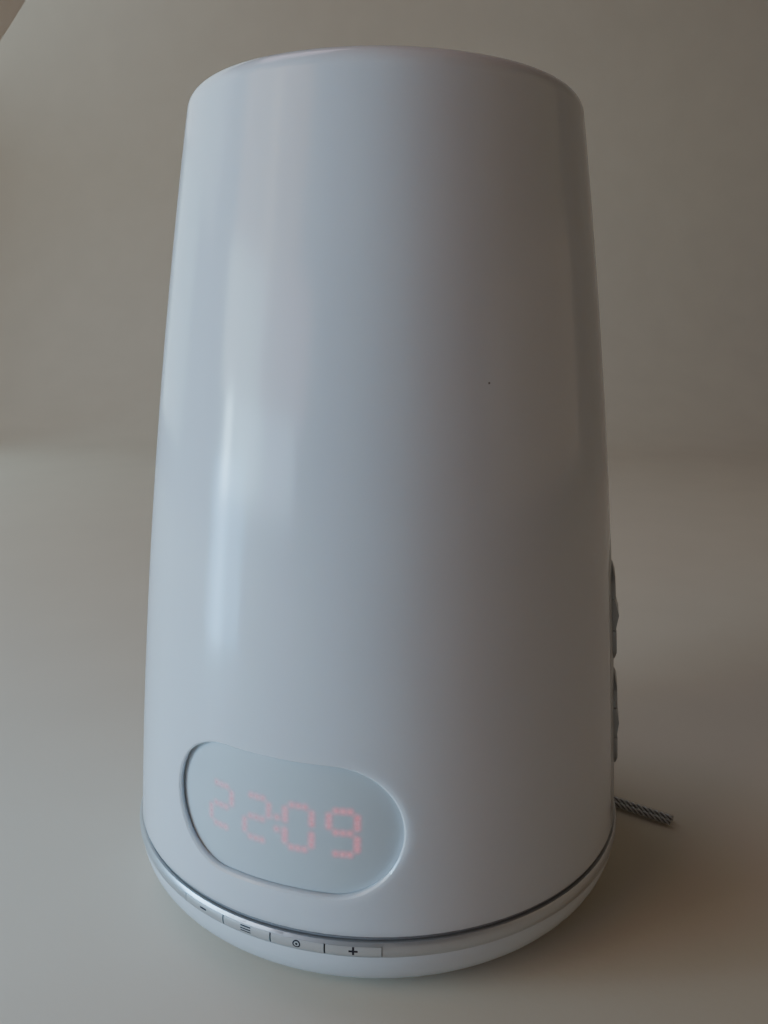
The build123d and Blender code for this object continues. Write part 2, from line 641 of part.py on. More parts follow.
# chassis: the deck that shows in the dark joint, posts, and the carriers of the boards
with BuildPart() as chassis:
    revolve(ring_slice(0, DECK_INNER_RADIUS, DECK_RADIUS, BAND_TOP, SHADE_BOTTOM), axis=Axis.Z)
    lip_low, lip_high, lip_radius = DECK_LIP
    revolve(ring_slice(0, DECK_RADIUS - 0.5, lip_radius, lip_low, lip_high), axis=Axis.Z)
    # the ring that centres the shells, open at the back for the inlet and at the side for the switches
    ring_inner, ring_outer, ring_top = LOCATING_RING
    for from_azimuth, arc in ((14, 68), (110, 56), (194, 152)):
        locating = ring_slice(from_azimuth, ring_inner, ring_outer, SHADE_BOTTOM, ring_top)
        revolve(locating, axis=Axis.Z, revolution_arc=arc)
    with BuildSketch(Plane.XY.offset(BAND_TOP)):
        with Locations([spot(angle, POST_CIRCLE, 0)[:2] for angle in POST_ANGLES]):
            Circle(POST_RADIUS)
    extrude(amount=LAMP_DECK_HEIGHT - BAND_TOP)
    # carrier of the front switch strip
    carrier = ring_slice(-23, STRIP_RADIUS - 2, STRIP_RADIUS, BAND_BOTTOM, BAND_TOP)
    revolve(carrier, axis=Axis.Z, revolution_arc=46)
    # carrier of the display board
    with BuildSketch(Plane.XZ.offset(-BOARD_FRONT_Y - BOARD_THICKNESS)):
        carrier_top = DISPLAY_HEIGHT + DISPLAY_BOARD_TALL / 2 + 2
        with Locations((0, (BAND_TOP + carrier_top) / 2)):
            Rectangle(DISPLAY_BOARD_WIDE, carrier_top - BAND_TOP)
        with Locations((0, DISPLAY_HEIGHT)):
            Rectangle(DISPLAY_BOARD_WIDE - 16, DISPLAY_BOARD_TALL - 12, mode=Mode.SUBTRACT)
    extrude(amount=-2)
    # carrier of the side switch board
    with BuildSketch(facing(SIDE_AZIMUTH, SIDE_BRACKET_RADIUS)):
        with Locations((0, (BAND_TOP + SIDE_BOARD_TOP) / 2)):
            Rectangle(SIDE_BOARD_WIDE, SIDE_BOARD_TOP - BAND_TOP)
    extrude(amount=2)
    # screw holes: down into the posts, and into them from behind
    with BuildSketch(Plane.XY.offset(LAMP_DECK_HEIGHT)):
        with Locations([spot(angle, POST_CIRCLE, 0)[:2] for angle in POST_ANGLES]):
            Circle(1.25)
    extrude(amount=-DECK_SCREW_LENGTH - 1, mode=Mode.SUBTRACT)
    with BuildSketch(Plane.XZ.offset(-COVER_SCREW_X)):
        with Locations([(x, z) for x in (-COVER_SCREW_X, COVER_SCREW_X) for z in COVER_SCREW_HEIGHTS]):
            Circle(1.25)
    extrude(amount=-10, mode=Mode.SUBTRACT)
chassis.part.label = "chassis"
export_step(chassis.part, "parts/chassis.step")

with BuildPart() as cover_screws:
    screw_places = [(x, z) for x in (-COVER_SCREW_X, COVER_SCREW_X) for z in COVER_SCREW_HEIGHTS]
    with BuildSketch(Plane.XZ.offset(-COVER_SCREW_HEAD_Y)):
        with Locations(screw_places):
            Circle(3.0)
    extrude(amount=-2.2)
    with BuildSketch(Plane.XZ.offset(-COVER_SCREW_HEAD_Y)):
        with Locations(screw_places):
            Circle(1.2)
    extrude(amount=COVER_SCREW_HEAD_Y - COVER_SCREW_X - 0.5)
    with BuildSketch(Plane.XZ.offset(-COVER_SCREW_HEAD_Y - 1.2)):
        with Locations(screw_places):
            Rectangle(3.6, 0.8)
            Rectangle(0.8, 3.6)
    extrude(amount=-3, mode=Mode.SUBTRACT)
cover_screws.part.label = "cover_screws"
export_step(cover_screws.part, "parts/cover_screws.step")

# lamp deck: the white floor of the light chamber
with BuildPart() as light_deck:
    with BuildSketch(Plane.XY.offset(LAMP_DECK_HEIGHT)):
        Circle(LAMP_DECK_RADIUS)
        Circle(HOLDER_RADIUS + 0.2, mode=Mode.SUBTRACT)
        with Locations([spot(angle, POST_CIRCLE, 0)[:2] for angle in POST_ANGLES]):
            Circle(1.6, mode=Mode.SUBTRACT)
    extrude(amount=LAMP_DECK_THICKNESS)
light_deck.part.label = "light_deck"
export_step(light_deck.part, "parts/light_deck.step")

DECK_TOP = LAMP_DECK_HEIGHT + LAMP_DECK_THICKNESS
with BuildPart() as deck_screws:
    deck_places = [spot(angle, POST_CIRCLE, 0)[:2] for angle in POST_ANGLES]
    with BuildSketch(Plane.XY.offset(DECK_TOP)):
        with Locations(deck_places):
            Circle(2.8)
    extrude(amount=2)
    with BuildSketch(Plane.XY.offset(DECK_TOP)):
        with Locations(deck_places):
            Circle(1.2)
    extrude(amount=-DECK_SCREW_LENGTH)
deck_screws.part.label = "deck_screws"
export_step(deck_screws.part, "parts/deck_screws.step")

# reflector: the half pipe behind the bulb, with a foot on the deck
with BuildPart() as reflector:
    revolve(ring_slice(100, REFLECTOR_RADIUS, REFLECTOR_RADIUS + 1.2, DECK_TOP, 222), axis=Axis.Z, revolution_arc=160)
    foot = ring_slice(100, REFLECTOR_RADIUS - 6, REFLECTOR_RADIUS + 1.2, DECK_TOP, DECK_TOP + 1.2)
    revolve(foot, axis=Axis.Z, revolution_arc=160)
reflector.part.label = "reflector"
export_step(reflector.part, "parts/reflector.step")

# lamp holder, hung through the deck on its collar
HOLDER_BOTTOM = 96.0
HOLDER_TOP = 131.0
SOCKET_RADIUS = 13.7
CAP_BOTTOM = 107.0
CAP_TOP = 133.0
with BuildPart() as lamp_holder:
    with BuildSketch(Plane.XY.offset(HOLDER_BOTTOM)):
        Circle(HOLDER_RADIUS)
    extrude(amount=HOLDER_TOP - HOLDER_BOTTOM)
    with BuildSketch(Plane.XY.offset(DECK_TOP)):
        Circle(HOLDER_RADIUS + 6)
    extrude(amount=2)
    fillet(lamp_holder.edges().filter_by(GeomType.CIRCLE).sort_by(Axis.Z)[-1], 1.5)
    with BuildSketch(Plane.XY.offset(CAP_BOTTOM - 3)):
        Circle(SOCKET_RADIUS)
    extrude(amount=HOLDER_TOP, mode=Mode.SUBTRACT)
lamp_holder.part.label = "lamp_holder"
export_step(lamp_holder.part, "parts/lamp_holder.step")

# bulb: its screw cap and its glass
THREAD_PITCH = 3.6
THREAD_DEPTH = 0.8
CAP_RADIUS = 13.2
with BuildPart() as bulb_cap:
    with BuildSketch(Plane.XY.offset(CAP_BOTTOM)):
        Circle(CAP_RADIUS)
    extrude(amount=CAP_TOP - CAP_BOTTOM)
    for i in range(6):
        groove_height = CAP_BOTTOM + 3 + i * THREAD_PITCH
        with BuildSketch(Plane.XZ):
            with Locations((CAP_RADIUS, groove_height)):
                Circle(THREAD_DEPTH)
        revolve(axis=Axis.Z, mode=Mode.SUBTRACT)
    with BuildSketch(Plane.XY.offset(CAP_BOTTOM - 3)):
        Circle(5)
    extrude(amount=3)
bulb_cap.part.label = "bulb_cap"
export_step(bulb_cap.part, "parts/bulb_cap.step")


def bulb_section(inset):
    """Half section of the bulb's glass, moved in by inset."""
    with BuildSketch(Plane.XZ) as section:
        with BuildLine():
            neck = (14.0 - inset, CAP_TOP)
            belly = (30.0 - inset, 182.0)
            top = (0.0, 212.0 - inset)
            Spline(neck, belly, tangents=((0, 1), (0, 1)))
            RadiusArc(belly, top, -(30.0 - inset))
            Polyline(top, (0, CAP_TOP), neck)
        make_face()
    return section.sketch


with BuildPart() as bulb_glass:
    revolve(bulb_section(0), axis=Axis.Z)
    revolve(bulb_section(1.0), axis=Axis.Z, mode=Mode.SUBTRACT)
bulb_glass.part.label = "bulb_glass"
export_step(bulb_glass.part, "parts/bulb_glass.step")

# ---------------------------------------------------------------- display

# window: a curved lens behind the display hole, a lip wider than the hole all round
with BuildPart() as display_window:
    revolve(outline(WALL + FACE_GAP), axis=Axis.Z)
    revolve(outline(WALL + FACE_GAP + WINDOW_THICKNESS), axis=Axis.Z, mode=Mode.SUBTRACT)
    with BuildSketch(FRONT):
        with Locations((0, DISPLAY_HEIGHT)):
            SlotOverall(HOLE_WIDTH + 2 * DISPLAY_LIP, HOLE_TALL + 2 * DISPLAY_LIP)
    extrude(amount=REACH, mode=Mode.INTERSECT)
display_window.part.label = "display_window"
export_step(display_window.part, "parts/display_window.step")

# baffle: the frame between window and board that keeps the lamp's light out of the display
with BuildPart() as light_baffle:
    with BuildSketch(FRONT):
        with Locations((0, DISPLAY_HEIGHT)):
            SlotOverall(HOLE_WIDTH - 1, HOLE_TALL + 2)
            SlotOverall(HOLE_WIDTH - 5, HOLE_TALL - 2, mode=Mode.SUBTRACT)
    extrude(amount=REACH)
    revolve(outline(WALL + 2 * FACE_GAP + WINDOW_THICKNESS), axis=Axis.Z, mode=Mode.INTERSECT)
light_baffle.part.label = "light_baffle"
export_step(light_baffle.part, "parts/light_baffle.step")

with BuildPart() as display_board:
    with BuildSketch(Plane.XZ.offset(-BOARD_FRONT_Y - BOARD_THICKNESS)):
        with Locations((0, DISPLAY_HEIGHT)):
            Rectangle(DISPLAY_BOARD_WIDE, DISPLAY_BOARD_TALL)
    extrude(amount=BOARD_THICKNESS)
display_board.part.label = "display_board"
export_step(display_board.part, "parts/display_board.step")

# the LEDs: four seven-segment digits of single dots, three to a segment, and the colon
SEGMENT_DOTS = [(column, row) for row in (0, 4, 8) for column in (1, 2, 3)]
SEGMENT_DOTS += [(column, row) for row in (1, 2, 3, 5, 6, 7) for column in (0, 4)]
led_places = [(0.0, height) for height in COLON_HEIGHTS]
for left in DIGIT_LEFT_AZIMUTHS:
    for column, row in SEGMENT_DOTS:
        azimuth = left + math.degrees(column * DOT_PITCH_X / DIGIT_RADIUS)
        across = DIGIT_RADIUS * math.sin(math.radians(azimuth))
        led_places.append((across, DIGIT_BOTTOM + row * DOT_PITCH_Z))

with BuildPart() as display_leds:
    with BuildSketch(FRONT):
        with Locations(led_places):
            Rectangle(LED_SIZE[0], LED_SIZE[1])
    extrude(amount=LED_SIZE[2])
display_leds.part.label = "display_leds"
export_step(display_leds.part, "parts/display_leds.step")

# ---------------------------------------------------------------- side switches

SIDE_BOARD_LOW = 38.0
with BuildPart() as side_switch_board:
    with BuildSketch(facing(SIDE_AZIMUTH, SIDE_BOARD_RADIUS)):
        with Locations((0, (SIDE_BOARD_LOW + SIDE_BOARD_TOP) / 2)):
            Rectangle(SIDE_BOARD_WIDE, SIDE_BOARD_TOP - SIDE_BOARD_LOW)
    extrude(amount=BOARD_THICKNESS)
side_switch_board.part.label = "side_switch_board"
export_step(side_switch_board.part, "parts/side_switch_board.step")

switch_heights = [
    height + step * SIDE_PITCH
    for height in SIDE_GROUP_HEIGHTS.values()
    for step in SIDE_SLICES.values()
]
with BuildPart() as side_switches:
    with BuildSketch(facing(SIDE_AZIMUTH, SIDE_BOARD_RADIUS + BOARD_THICKNESS)):
        with Locations([(0, height) for height in switch_heights]):
            Rectangle(6, 6)
    extrude(amount=SWITCH_BODY)
    with BuildSketch(facing(SIDE_AZIMUTH, SIDE_BOARD_RADIUS + BOARD_THICKNESS + SWITCH_BODY)):
        with Locations([(0, height) for height in switch_heights]):
            Circle(1.75)
    extrude(amount=SWITCH_NUB)
side_switches.part.label = "side_switches"
export_step(side_switches.part, "parts/side_switches.step")

# ---------------------------------------------------------------- main board

BOARD_TOP = MAIN_BOARD_HEIGHT + BOARD_THICKNESS
with BuildPart() as main_board:
    with BuildSketch(Plane.XY.offset(MAIN_BOARD_HEIGHT)):
        Rectangle(BOARD_LONG, BOARD_WIDE)
        with GridLocations(2 * STANDOFF_X, 2 * STANDOFF_Y, 2, 2):
            Circle(1.6, mode=Mode.SUBTRACT)
    extrude(amount=BOARD_THICKNESS)
main_board.part.label = "main_board"
export_step(main_board.part, "parts/main_board.step")

with BuildPart() as board_screws:
    with BuildSketch(Plane.XY.offset(BOARD_TOP)):
        with GridLocations(2 * STANDOFF_X, 2 * STANDOFF_Y, 2, 2):
            Circle(2.6)
    extrude(amount=1.8)
    with BuildSketch(Plane.XY.offset(BOARD_TOP)):
        with GridLocations(2 * STANDOFF_X, 2 * STANDOFF_Y, 2, 2):
            Circle(1.2)
    extrude(amount=-6)
board_screws.part.label = "board_screws"
export_step(board_screws.part, "parts/board_screws.step")

# transformer: laminated core with the bobbin standing out on two sides
with BuildPart() as transformer_core:
    with BuildSketch(Plane.XY.offset(BOARD_TOP + 3)):
        with Locations((-18, -6)):
            Rectangle(40, 20)
    extrude(amount=32)
    with BuildSketch(Plane.XZ.offset(20)):
        with Locations((-18, BOARD_TOP + 19)):
            with GridLocations(20, 1, 2, 1):
                Rectangle(8, 20)
    extrude(amount=-REACH, mode=Mode.SUBTRACT)
transformer_core.part.label = "transformer_core"
export_step(transformer_core.part, "parts/transformer_core.step")

with BuildPart() as transformer_bobbin:
    with BuildSketch(Plane.XY.offset(BOARD_TOP)):
        with Locations((-18, -6)):
            Rectangle(27.6, 34)
    extrude(amount=3)
    for x in (-28, -8):
        with BuildSketch(Plane.XZ.offset(6)):
            with Locations((x, BOARD_TOP + 19)):
                Rectangle(7.6, 19.6)
        extrude(amount=17, both=True)
        with BuildSketch(Plane.XY.offset(BOARD_TOP + 3)):
            with Locations((x, -6)):
                with GridLocations(1, 28, 1, 2):
                    Rectangle(7.6, 6)
        extrude(amount=16)
transformer_bobbin.part.label = "transformer_bobbin"
export_step(transformer_bobbin.part, "parts/transformer_bobbin.step")

with BuildPart() as capacitors:
    with BuildSketch(Plane.XY.offset(BOARD_TOP)):
        with Locations((15, -18), (33, -18)):
            Circle(7.5)
    extrude(amount=25)
    with BuildSketch(Plane.XY.offset(BOARD_TOP)):
        with Locations((14, 0), (24, 0), (34, 0)):
            Circle(4)
    extrude(amount=12)
capacitors.part.label = "capacitors"
export_step(capacitors.part, "parts/capacitors.step")

with BuildPart() as heat_sink:
    with BuildSketch(Plane.XY.offset(BOARD_TOP)):
        with Locations((10, 13)):
            Rectangle(44, 2)
        with Locations((10, 20)):
            with GridLocations(7, 1, 7, 1):
                Rectangle(1.6, 12)
    extrude(amount=24)
heat_sink.part.label = "heat_sink"
export_step(heat_sink.part, "parts/heat_sink.step")

with BuildPart() as dimmer:
    with BuildSketch(Plane.XY.offset(BOARD_TOP + 5)):
        with Locations((10, 9.7)):
            Rectangle(10.4, 4.6)
    extrude(amount=15)
    with BuildSketch(Plane.XY.offset(BOARD_TOP)):
        with Locations((10, 9.7)):
            with GridLocations(2.54, 1, 3, 1):
                Rectangle(0.8, 0.5)
    extrude(amount=5)
dimmer.part.label = "dimmer"
export_step(dimmer.part, "parts/dimmer.step")

# ---------------------------------------------------------------- loudspeaker

MAGNET_RADIUS = 17.0
with BuildPart() as speaker_frame:
    with BuildSketch(Plane.XZ.offset(-SPEAKER_FACE_Y)):
        with Locations((0, SPEAKER_HEIGHT)):
            RectangleRounded(58, 58, 6)
            Circle(SPEAKER_RADIUS, mode=Mode.SUBTRACT)
            with GridLocations(2 * SPEAKER_SCREW, 2 * SPEAKER_SCREW, 2, 2):
                Circle(1.3, mode=Mode.SUBTRACT)
    extrude(amount=1.5)
    with BuildSketch(Plane.YZ):
        with BuildLine():
            Polyline(
                (SPEAKER_FACE_Y - 1.5, SPEAKER_HEIGHT + SPEAKER_RADIUS),
                (SPEAKER_FACE_Y - 1.5, SPEAKER_HEIGHT + SPEAKER_RADIUS + 1.5),
                (SPEAKER_FACE_Y - 16, SPEAKER_HEIGHT + MAGNET_RADIUS + 1.5),
                (SPEAKER_FACE_Y - 17.5, SPEAKER_HEIGHT + MAGNET_RADIUS + 1.5),
                (SPEAKER_FACE_Y - 17.5, SPEAKER_HEIGHT + 7),
                (SPEAKER_FACE_Y - 16, SPEAKER_HEIGHT + 7),
                (SPEAKER_FACE_Y - 16, SPEAKER_HEIGHT + MAGNET_RADIUS - 0.5),
                close=True,
            )
        make_face()
    revolve(axis=Axis((0, 0, SPEAKER_HEIGHT), (0, 1, 0)))
speaker_frame.part.label = "speaker_frame"
export_step(speaker_frame.part, "parts/speaker_frame.step")

with BuildPart() as speaker_cone:
    with BuildSketch(Plane.YZ):
        with BuildLine():
            Polyline(
                (SPEAKER_FACE_Y - 1.6, SPEAKER_HEIGHT + SPEAKER_RADIUS - 0.6),
                (SPEAKER_FACE_Y - 0.8, SPEAKER_HEIGHT + SPEAKER_RADIUS - 0.6),
                (SPEAKER_FACE_Y - 9.4, SPEAKER_HEIGHT + 8),
                (SPEAKER_FACE_Y - 7.5, SPEAKER_HEIGHT),
                (SPEAKER_FACE_Y - 8.3, SPEAKER_HEIGHT),
                (SPEAKER_FACE_Y - 10.4, SPEAKER_HEIGHT + 8),
                close=True,
            )
        make_face()
    revolve(axis=Axis((0, 0, SPEAKER_HEIGHT), (0, 1, 0)))
speaker_cone.part.label = "speaker_cone"
export_step(speaker_cone.part, "parts/speaker_cone.step")

with BuildPart() as speaker_magnet:
    with BuildSketch(Plane.XZ.offset(-SPEAKER_FACE_Y + 17.5)):
        with Locations((0, SPEAKER_HEIGHT)):
            Circle(MAGNET_RADIUS)
    extrude(amount=9)
speaker_magnet.part.label = "speaker_magnet"
export_step(speaker_magnet.part, "parts/speaker_magnet.step")

with BuildPart() as speaker_screws:
    with BuildSketch(Plane.XZ.offset(-SPEAKER_FACE_Y + 1.5)):
        with Locations((0, SPEAKER_HEIGHT)):
            with GridLocations(2 * SPEAKER_SCREW, 2 * SPEAKER_SCREW, 2, 2):
                Circle(2.2)
    extrude(amount=1.4)
    with BuildSketch(Plane.XZ.offset(-SPEAKER_FACE_Y + 1.5)):
        with Locations((0, SPEAKER_HEIGHT)):
            with GridLocations(2 * SPEAKER_SCREW, 2 * SPEAKER_SCREW, 2, 2):
                Circle(0.95)
    extrude(amount=-4.6)
speaker_screws.part.label = "speaker_screws"
export_step(speaker_screws.part, "parts/speaker_screws.step")

# ---------------------------------------------------------------- mains inlet

SOCKET_WIDE = 17.6
SOCKET_TALL = 10.0
SOCKET_DEEP = 14.0
with BuildPart() as mains_inlet:
    with BuildSketch(Plane.XZ.offset(-INLET_FACE_Y)):
        with Locations((0, INLET_HEIGHT)):
            RectangleRounded(INLET_WIDE, INLET_TALL, 2)
    extrude(amount=19)
    with BuildSketch(Plane.XZ.offset(-INLET_FACE_Y)):
        with Locations((0, INLET_HEIGHT)):
            SlotOverall(SOCKET_WIDE, SOCKET_TALL)
    extrude(amount=SOCKET_DEEP, mode=Mode.SUBTRACT)
mains_inlet.part.label = "mains_inlet"
export_step(mains_inlet.part, "parts/mains_inlet.step")

with BuildPart() as inlet_pins:
    with BuildSketch(Plane.XZ.offset(-INLET_FACE_Y + SOCKET_DEEP)):
        with Locations((0, INLET_HEIGHT)):
            with GridLocations(6.6, 1, 2, 1):
                Circle(1.2)
    extrude(amount=-10)
inlet_pins.part.label = "inlet_pins"
export_step(inlet_pins.part, "parts/inlet_pins.step")

# ---------------------------------------------------------------- aerial lead

# grommet in the bowl's notch
with BuildPart() as aerial_grommet:
    with BuildSketch(Plane.XZ.offset(-GROMMET_FACE_Y)):
        with Locations((GROMMET_X, GROMMET_TOP / 2 + 0.1)):
            Rectangle(GROMMET_WIDE, GROMMET_TOP - 0.2)
    extrude(amount=GROMMET_FACE_Y - BOWL_REBATE_RADIUS)
aerial_grommet.part.label = "aerial_grommet"
export_step(aerial_grommet.part, "parts/aerial_grommet.step")

ENTRY_Y = COIL_CENTRE[1] - COIL_RADIUS
EXIT_Y = COIL_CENTRE[1] + COIL_RADIUS
STUB_END_X = COIL_CENTRE[0] + STUB
COIL_TOP_HEIGHT = COIL_BOTTOM_HEIGHT + 2 * COIL_PITCH

# the lead's route from the grommet to the coil, and from the coil to its bare end
LEAD_ROUTE = [
    (GROMMET_X, GROMMET_FACE_Y, COIL_BOTTOM_HEIGHT),
    (GROMMET_X, 91.0, COIL_BOTTOM_HEIGHT),
    (3.2, ENTRY_Y, COIL_BOTTOM_HEIGHT),
    (STUB_END_X, ENTRY_Y, COIL_BOTTOM_HEIGHT),
]
TAIL_ROUTE = [
    (STUB_END_X, EXIT_Y, COIL_TOP_HEIGHT),
    (-2.0, EXIT_Y, COIL_TOP_HEIGHT),
    (19.0, 163.0, 4.8),
    (39.0, 154.0, 1.9),
    (54.0, 138.0, LEAD_LAY_HEIGHT),
    (60.5, 118.0, LEAD_LAY_HEIGHT),
    (58.5, 97.0, LEAD_LAY_HEIGHT),
    (57.0, 78.0, LEAD_LAY_HEIGHT),
    (60.5, 62.0, LEAD_LAY_HEIGHT),
    (70.5, 50.7, LEAD_LAY_HEIGHT),
    (87.0, 46.9, LEAD_LAY_HEIGHT),
    (103.6, 42.4, LEAD_LAY_HEIGHT),
]


def corner_radii(route):
    """For each corner, the largest arc that 0.45 of its shorter run allows."""
    points = [Vector(*point) for point in route]
    radii = []
    for before, corner, after in zip(points, points[1:], points[2:]):
        turn = math.radians((corner - before).get_angle(after - corner))
        shorter = min((corner - before).length, (after - corner).length)
        radii.append(0.45 * shorter / math.tan(turn / 2))
    return radii


def lead_face(plane):
    """The lead's flat rounded section, its width level."""
    with BuildSketch(plane) as section:
        SlotOverall(LEAD_WIDTH, LEAD_THICKNESS)
    return section.sketch


def lead_along(route):
    """The line of straight runs and tangent arcs through a route."""
    radii = corner_radii(route)
    print("lead radii, mm:", [round(radius, 1) for radius in radii])
    with BuildLine() as line:
        FilletPolyline(*route, radius=radii)
    return line.wires()[0]


lead_line = lead_along(LEAD_ROUTE)
with BuildPart() as aerial_lead:
    start_plane = Plane(origin=LEAD_ROUTE[0], x_dir=(1, 0, 0), z_dir=(0, 1, 0))
    sweep(lead_face(start_plane), path=lead_line)
aerial_lead.part.label = "aerial_lead"
export_step(aerial_lead.part, "parts/aerial_lead.step")

tail_line = lead_along(TAIL_ROUTE)
with BuildPart() as aerial_tail:
    start_plane = Plane(origin=TAIL_ROUTE[0], x_dir=(0, -1, 0), z_dir=(1, 0, 0))
    sweep(lead_face(start_plane), path=tail_line)
aerial_tail.part.label = "aerial_tail"
export_step(aerial_tail.part, "parts/aerial_tail.step")

# the coil as one solid: the ring that its turns fill, with the two ends that lead in and out
RING_LOW = COIL_BOTTOM_HEIGHT - LEAD_THICKNESS / 2
RING_HIGH = COIL_TOP_HEIGHT + LEAD_THICKNESS / 2
coil_axis = Axis((*COIL_CENTRE, 0), (0, 0, 1))
with BuildPart() as aerial_coil:
    with BuildSketch(Plane.XZ.offset(-COIL_CENTRE[1])):
        with Locations((COIL_CENTRE[0] + COIL_RADIUS, (RING_LOW + RING_HIGH) / 2)):
            RectangleRounded(LEAD_WIDTH, RING_HIGH - RING_LOW, LEAD_THICKNESS / 2 - 0.1)
    revolve(axis=coil_axis)
    for y, height in ((ENTRY_Y, COIL_BOTTOM_HEIGHT), (EXIT_Y, COIL_TOP_HEIGHT)):
        stub_plane = Plane(origin=(STUB_END_X, y, height), x_dir=(0, -1, 0), z_dir=(1, 0, 0))
        extrude(lead_face(stub_plane), amount=-STUB)
aerial_coil.part.label = "aerial_coil"
export_step(aerial_coil.part, "parts/aerial_coil.step")

# the tie round the coil's bundle
TIE_THICKNESS = 0.6
TIE_DEG = 14.0
with BuildPart() as lead_tie:
    with BuildSketch(Plane.XZ.offset(-COIL_CENTRE[1])):
        with Locations((COIL_CENTRE[0] - COIL_RADIUS, (RING_LOW + RING_HIGH) / 2)):
            bundle_wide = LEAD_WIDTH + 0.1
            bundle_tall = RING_HIGH - RING_LOW
            RectangleRounded(bundle_wide + 2 * TIE_THICKNESS, bundle_tall + 2 * TIE_THICKNESS, 1.8)
            RectangleRounded(bundle_wide, bundle_tall, 1.2, mode=Mode.SUBTRACT)
    revolve(axis=coil_axis, revolution_arc=TIE_DEG)
lead_tie.part.label = "lead_tie"
export_step(lead_tie.part, "parts/lead_tie.step")

coil_length = 2 * STUB + COIL_TURNS * 2 * math.pi * COIL_RADIUS
lead_length = lead_line.length + coil_length + tail_line.length
print("lead, coil and tail, mm:", round(lead_line.length), round(coil_length), round(tail_line.length))
print("aerial lead in all, mm:", round(lead_length))
section_area = LEAD_THICKNESS * (LEAD_WIDTH - LEAD_THICKNESS) + math.pi * LEAD_THICKNESS**2 / 4
for label, solid, line in (("lead", aerial_lead, lead_line), ("tail", aerial_tail, tail_line)):
    print(label, "volume over section times length:", round(solid.part.volume / (section_area * line.length), 4))
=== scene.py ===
# %% [markdown]
# # A sunrise alarm clock
# The lamp's solids come from CAD. They are loaded here as a frame that stays as it is, and
# everything else in this lesson is set on it: the camera, the light, the finishes, the lit
# digits, the marks on the buttons and the aerial lead. Loading the solids is better than
# modelling them again, because each piece then sits exactly where the joints expect it.

# %% Load the frame
import json
import math

import bmesh
import bpy
from mathutils import Matrix, Vector


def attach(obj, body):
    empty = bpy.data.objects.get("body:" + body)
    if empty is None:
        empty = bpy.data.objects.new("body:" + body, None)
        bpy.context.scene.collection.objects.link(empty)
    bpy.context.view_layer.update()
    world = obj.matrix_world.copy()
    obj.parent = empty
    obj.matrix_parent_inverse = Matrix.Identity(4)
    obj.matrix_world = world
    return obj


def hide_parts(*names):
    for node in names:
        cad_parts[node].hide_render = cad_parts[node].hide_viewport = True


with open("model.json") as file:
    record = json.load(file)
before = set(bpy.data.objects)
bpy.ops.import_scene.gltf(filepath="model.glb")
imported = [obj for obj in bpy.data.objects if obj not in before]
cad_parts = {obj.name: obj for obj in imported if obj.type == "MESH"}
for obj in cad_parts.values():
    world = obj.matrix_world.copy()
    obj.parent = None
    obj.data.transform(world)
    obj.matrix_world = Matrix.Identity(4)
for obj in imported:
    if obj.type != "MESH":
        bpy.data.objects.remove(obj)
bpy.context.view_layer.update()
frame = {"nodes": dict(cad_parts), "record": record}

nodes = frame["nodes"]

# %% [markdown]
# ## Places round the lamp
# The lamp is round, so most places are easiest to give as a distance from its axis, an
# azimuth and a height. The clock face looks along -Y, which is azimuth 0, and the side buttons
# along +X, which is a quarter turn on.


# %% Round the lamp
def round_the_lamp(radius, azimuth, height):
    """The place at a radius, an azimuth in radians and a height."""
    return Vector((radius * math.sin(azimuth), -radius * math.cos(azimuth), height))


print("a quarter turn on lies", round_the_lamp(1, math.pi / 2, 0))

# %% [markdown]
# ## The camera
# A short lens close to the lamp makes its foot look wide and its crown small. The camera
# could be aimed with a Track To constraint, but then it could not lean, and this one leans
# by two thirds of a degree. So it is turned in three plain steps: round the lamp, down, and
# over.

# %% Camera
STAND_ROUND = 20.3  # degrees round from the clock face, towards the side buttons
STAND_BACK = 0.2737  # metres from the lamp's axis
STAND_HIGH = 0.18167
AIM_ASIDE, AIM_DOWN, LEAN = 0.17, 12.34, 0.66  # degrees
LENS = 28.56  # millimetres
NEAREST_SEEN = 0.01

where = Matrix.Translation(round_the_lamp(STAND_BACK, math.radians(STAND_ROUND), STAND_HIGH))
turn_round = Matrix.Rotation(math.radians(STAND_ROUND - AIM_ASIDE), 4, "Z")
tilt = Matrix.Rotation(math.radians(90 - AIM_DOWN), 4, "X")
lean = Matrix.Rotation(math.radians(LEAN), 4, "Z")

camera = bpy.data.objects.new("camera", bpy.data.cameras.new("camera"))
camera.data.lens = LENS
camera.data.clip_start = NEAREST_SEEN
camera.matrix_world = where @ turn_round @ tilt @ lean
bpy.context.scene.collection.objects.link(camera)
bpy.context.scene.camera = camera
print("camera at", [round(x, 4) for x in camera.location])

# %% [markdown]
# ## Helpers for new pieces
# A new piece is drawn as a bmesh and becomes an object at the origin, so that its place is in
# its mesh. It then rides on the body that it belongs to, and its material is added afterwards.

# %% From a bmesh to a piece
MM = 0.001
MERGE_WITHIN = 1e-7


def finish_piece(bm, name, body, smooth=True):
    """Make a bmesh into an object that rides on a body."""
    bmesh.ops.remove_doubles(bm, verts=bm.verts, dist=MERGE_WITHIN)
    bmesh.ops.recalc_face_normals(bm, faces=bm.faces)
    for face in bm.faces:
        face.smooth = smooth
    mesh = bpy.data.meshes.new(name)
    bm.to_mesh(mesh)
    bm.free()
    piece = bpy.data.objects.new(name, mesh)
    bpy.context.scene.collection.objects.link(piece)
    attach(piece, body)
    print(piece.name, "rides on", body)
    return piece


# %% [markdown]
# ## The aerial lead
# The radio's aerial is a limp flat lead: two silver wires in a clear sleeve, about 80 cm long,
# a little more than a quarter of the wavelength that it receives. It leaves the bowl at the
# back, most of it is tied up in a small coil behind the lamp, and its bare end comes round to
# the right. A physics run could lay it down, but its route is known, so it is drawn as one
# NURBS curve that the points of that route control. They are in millimetres.

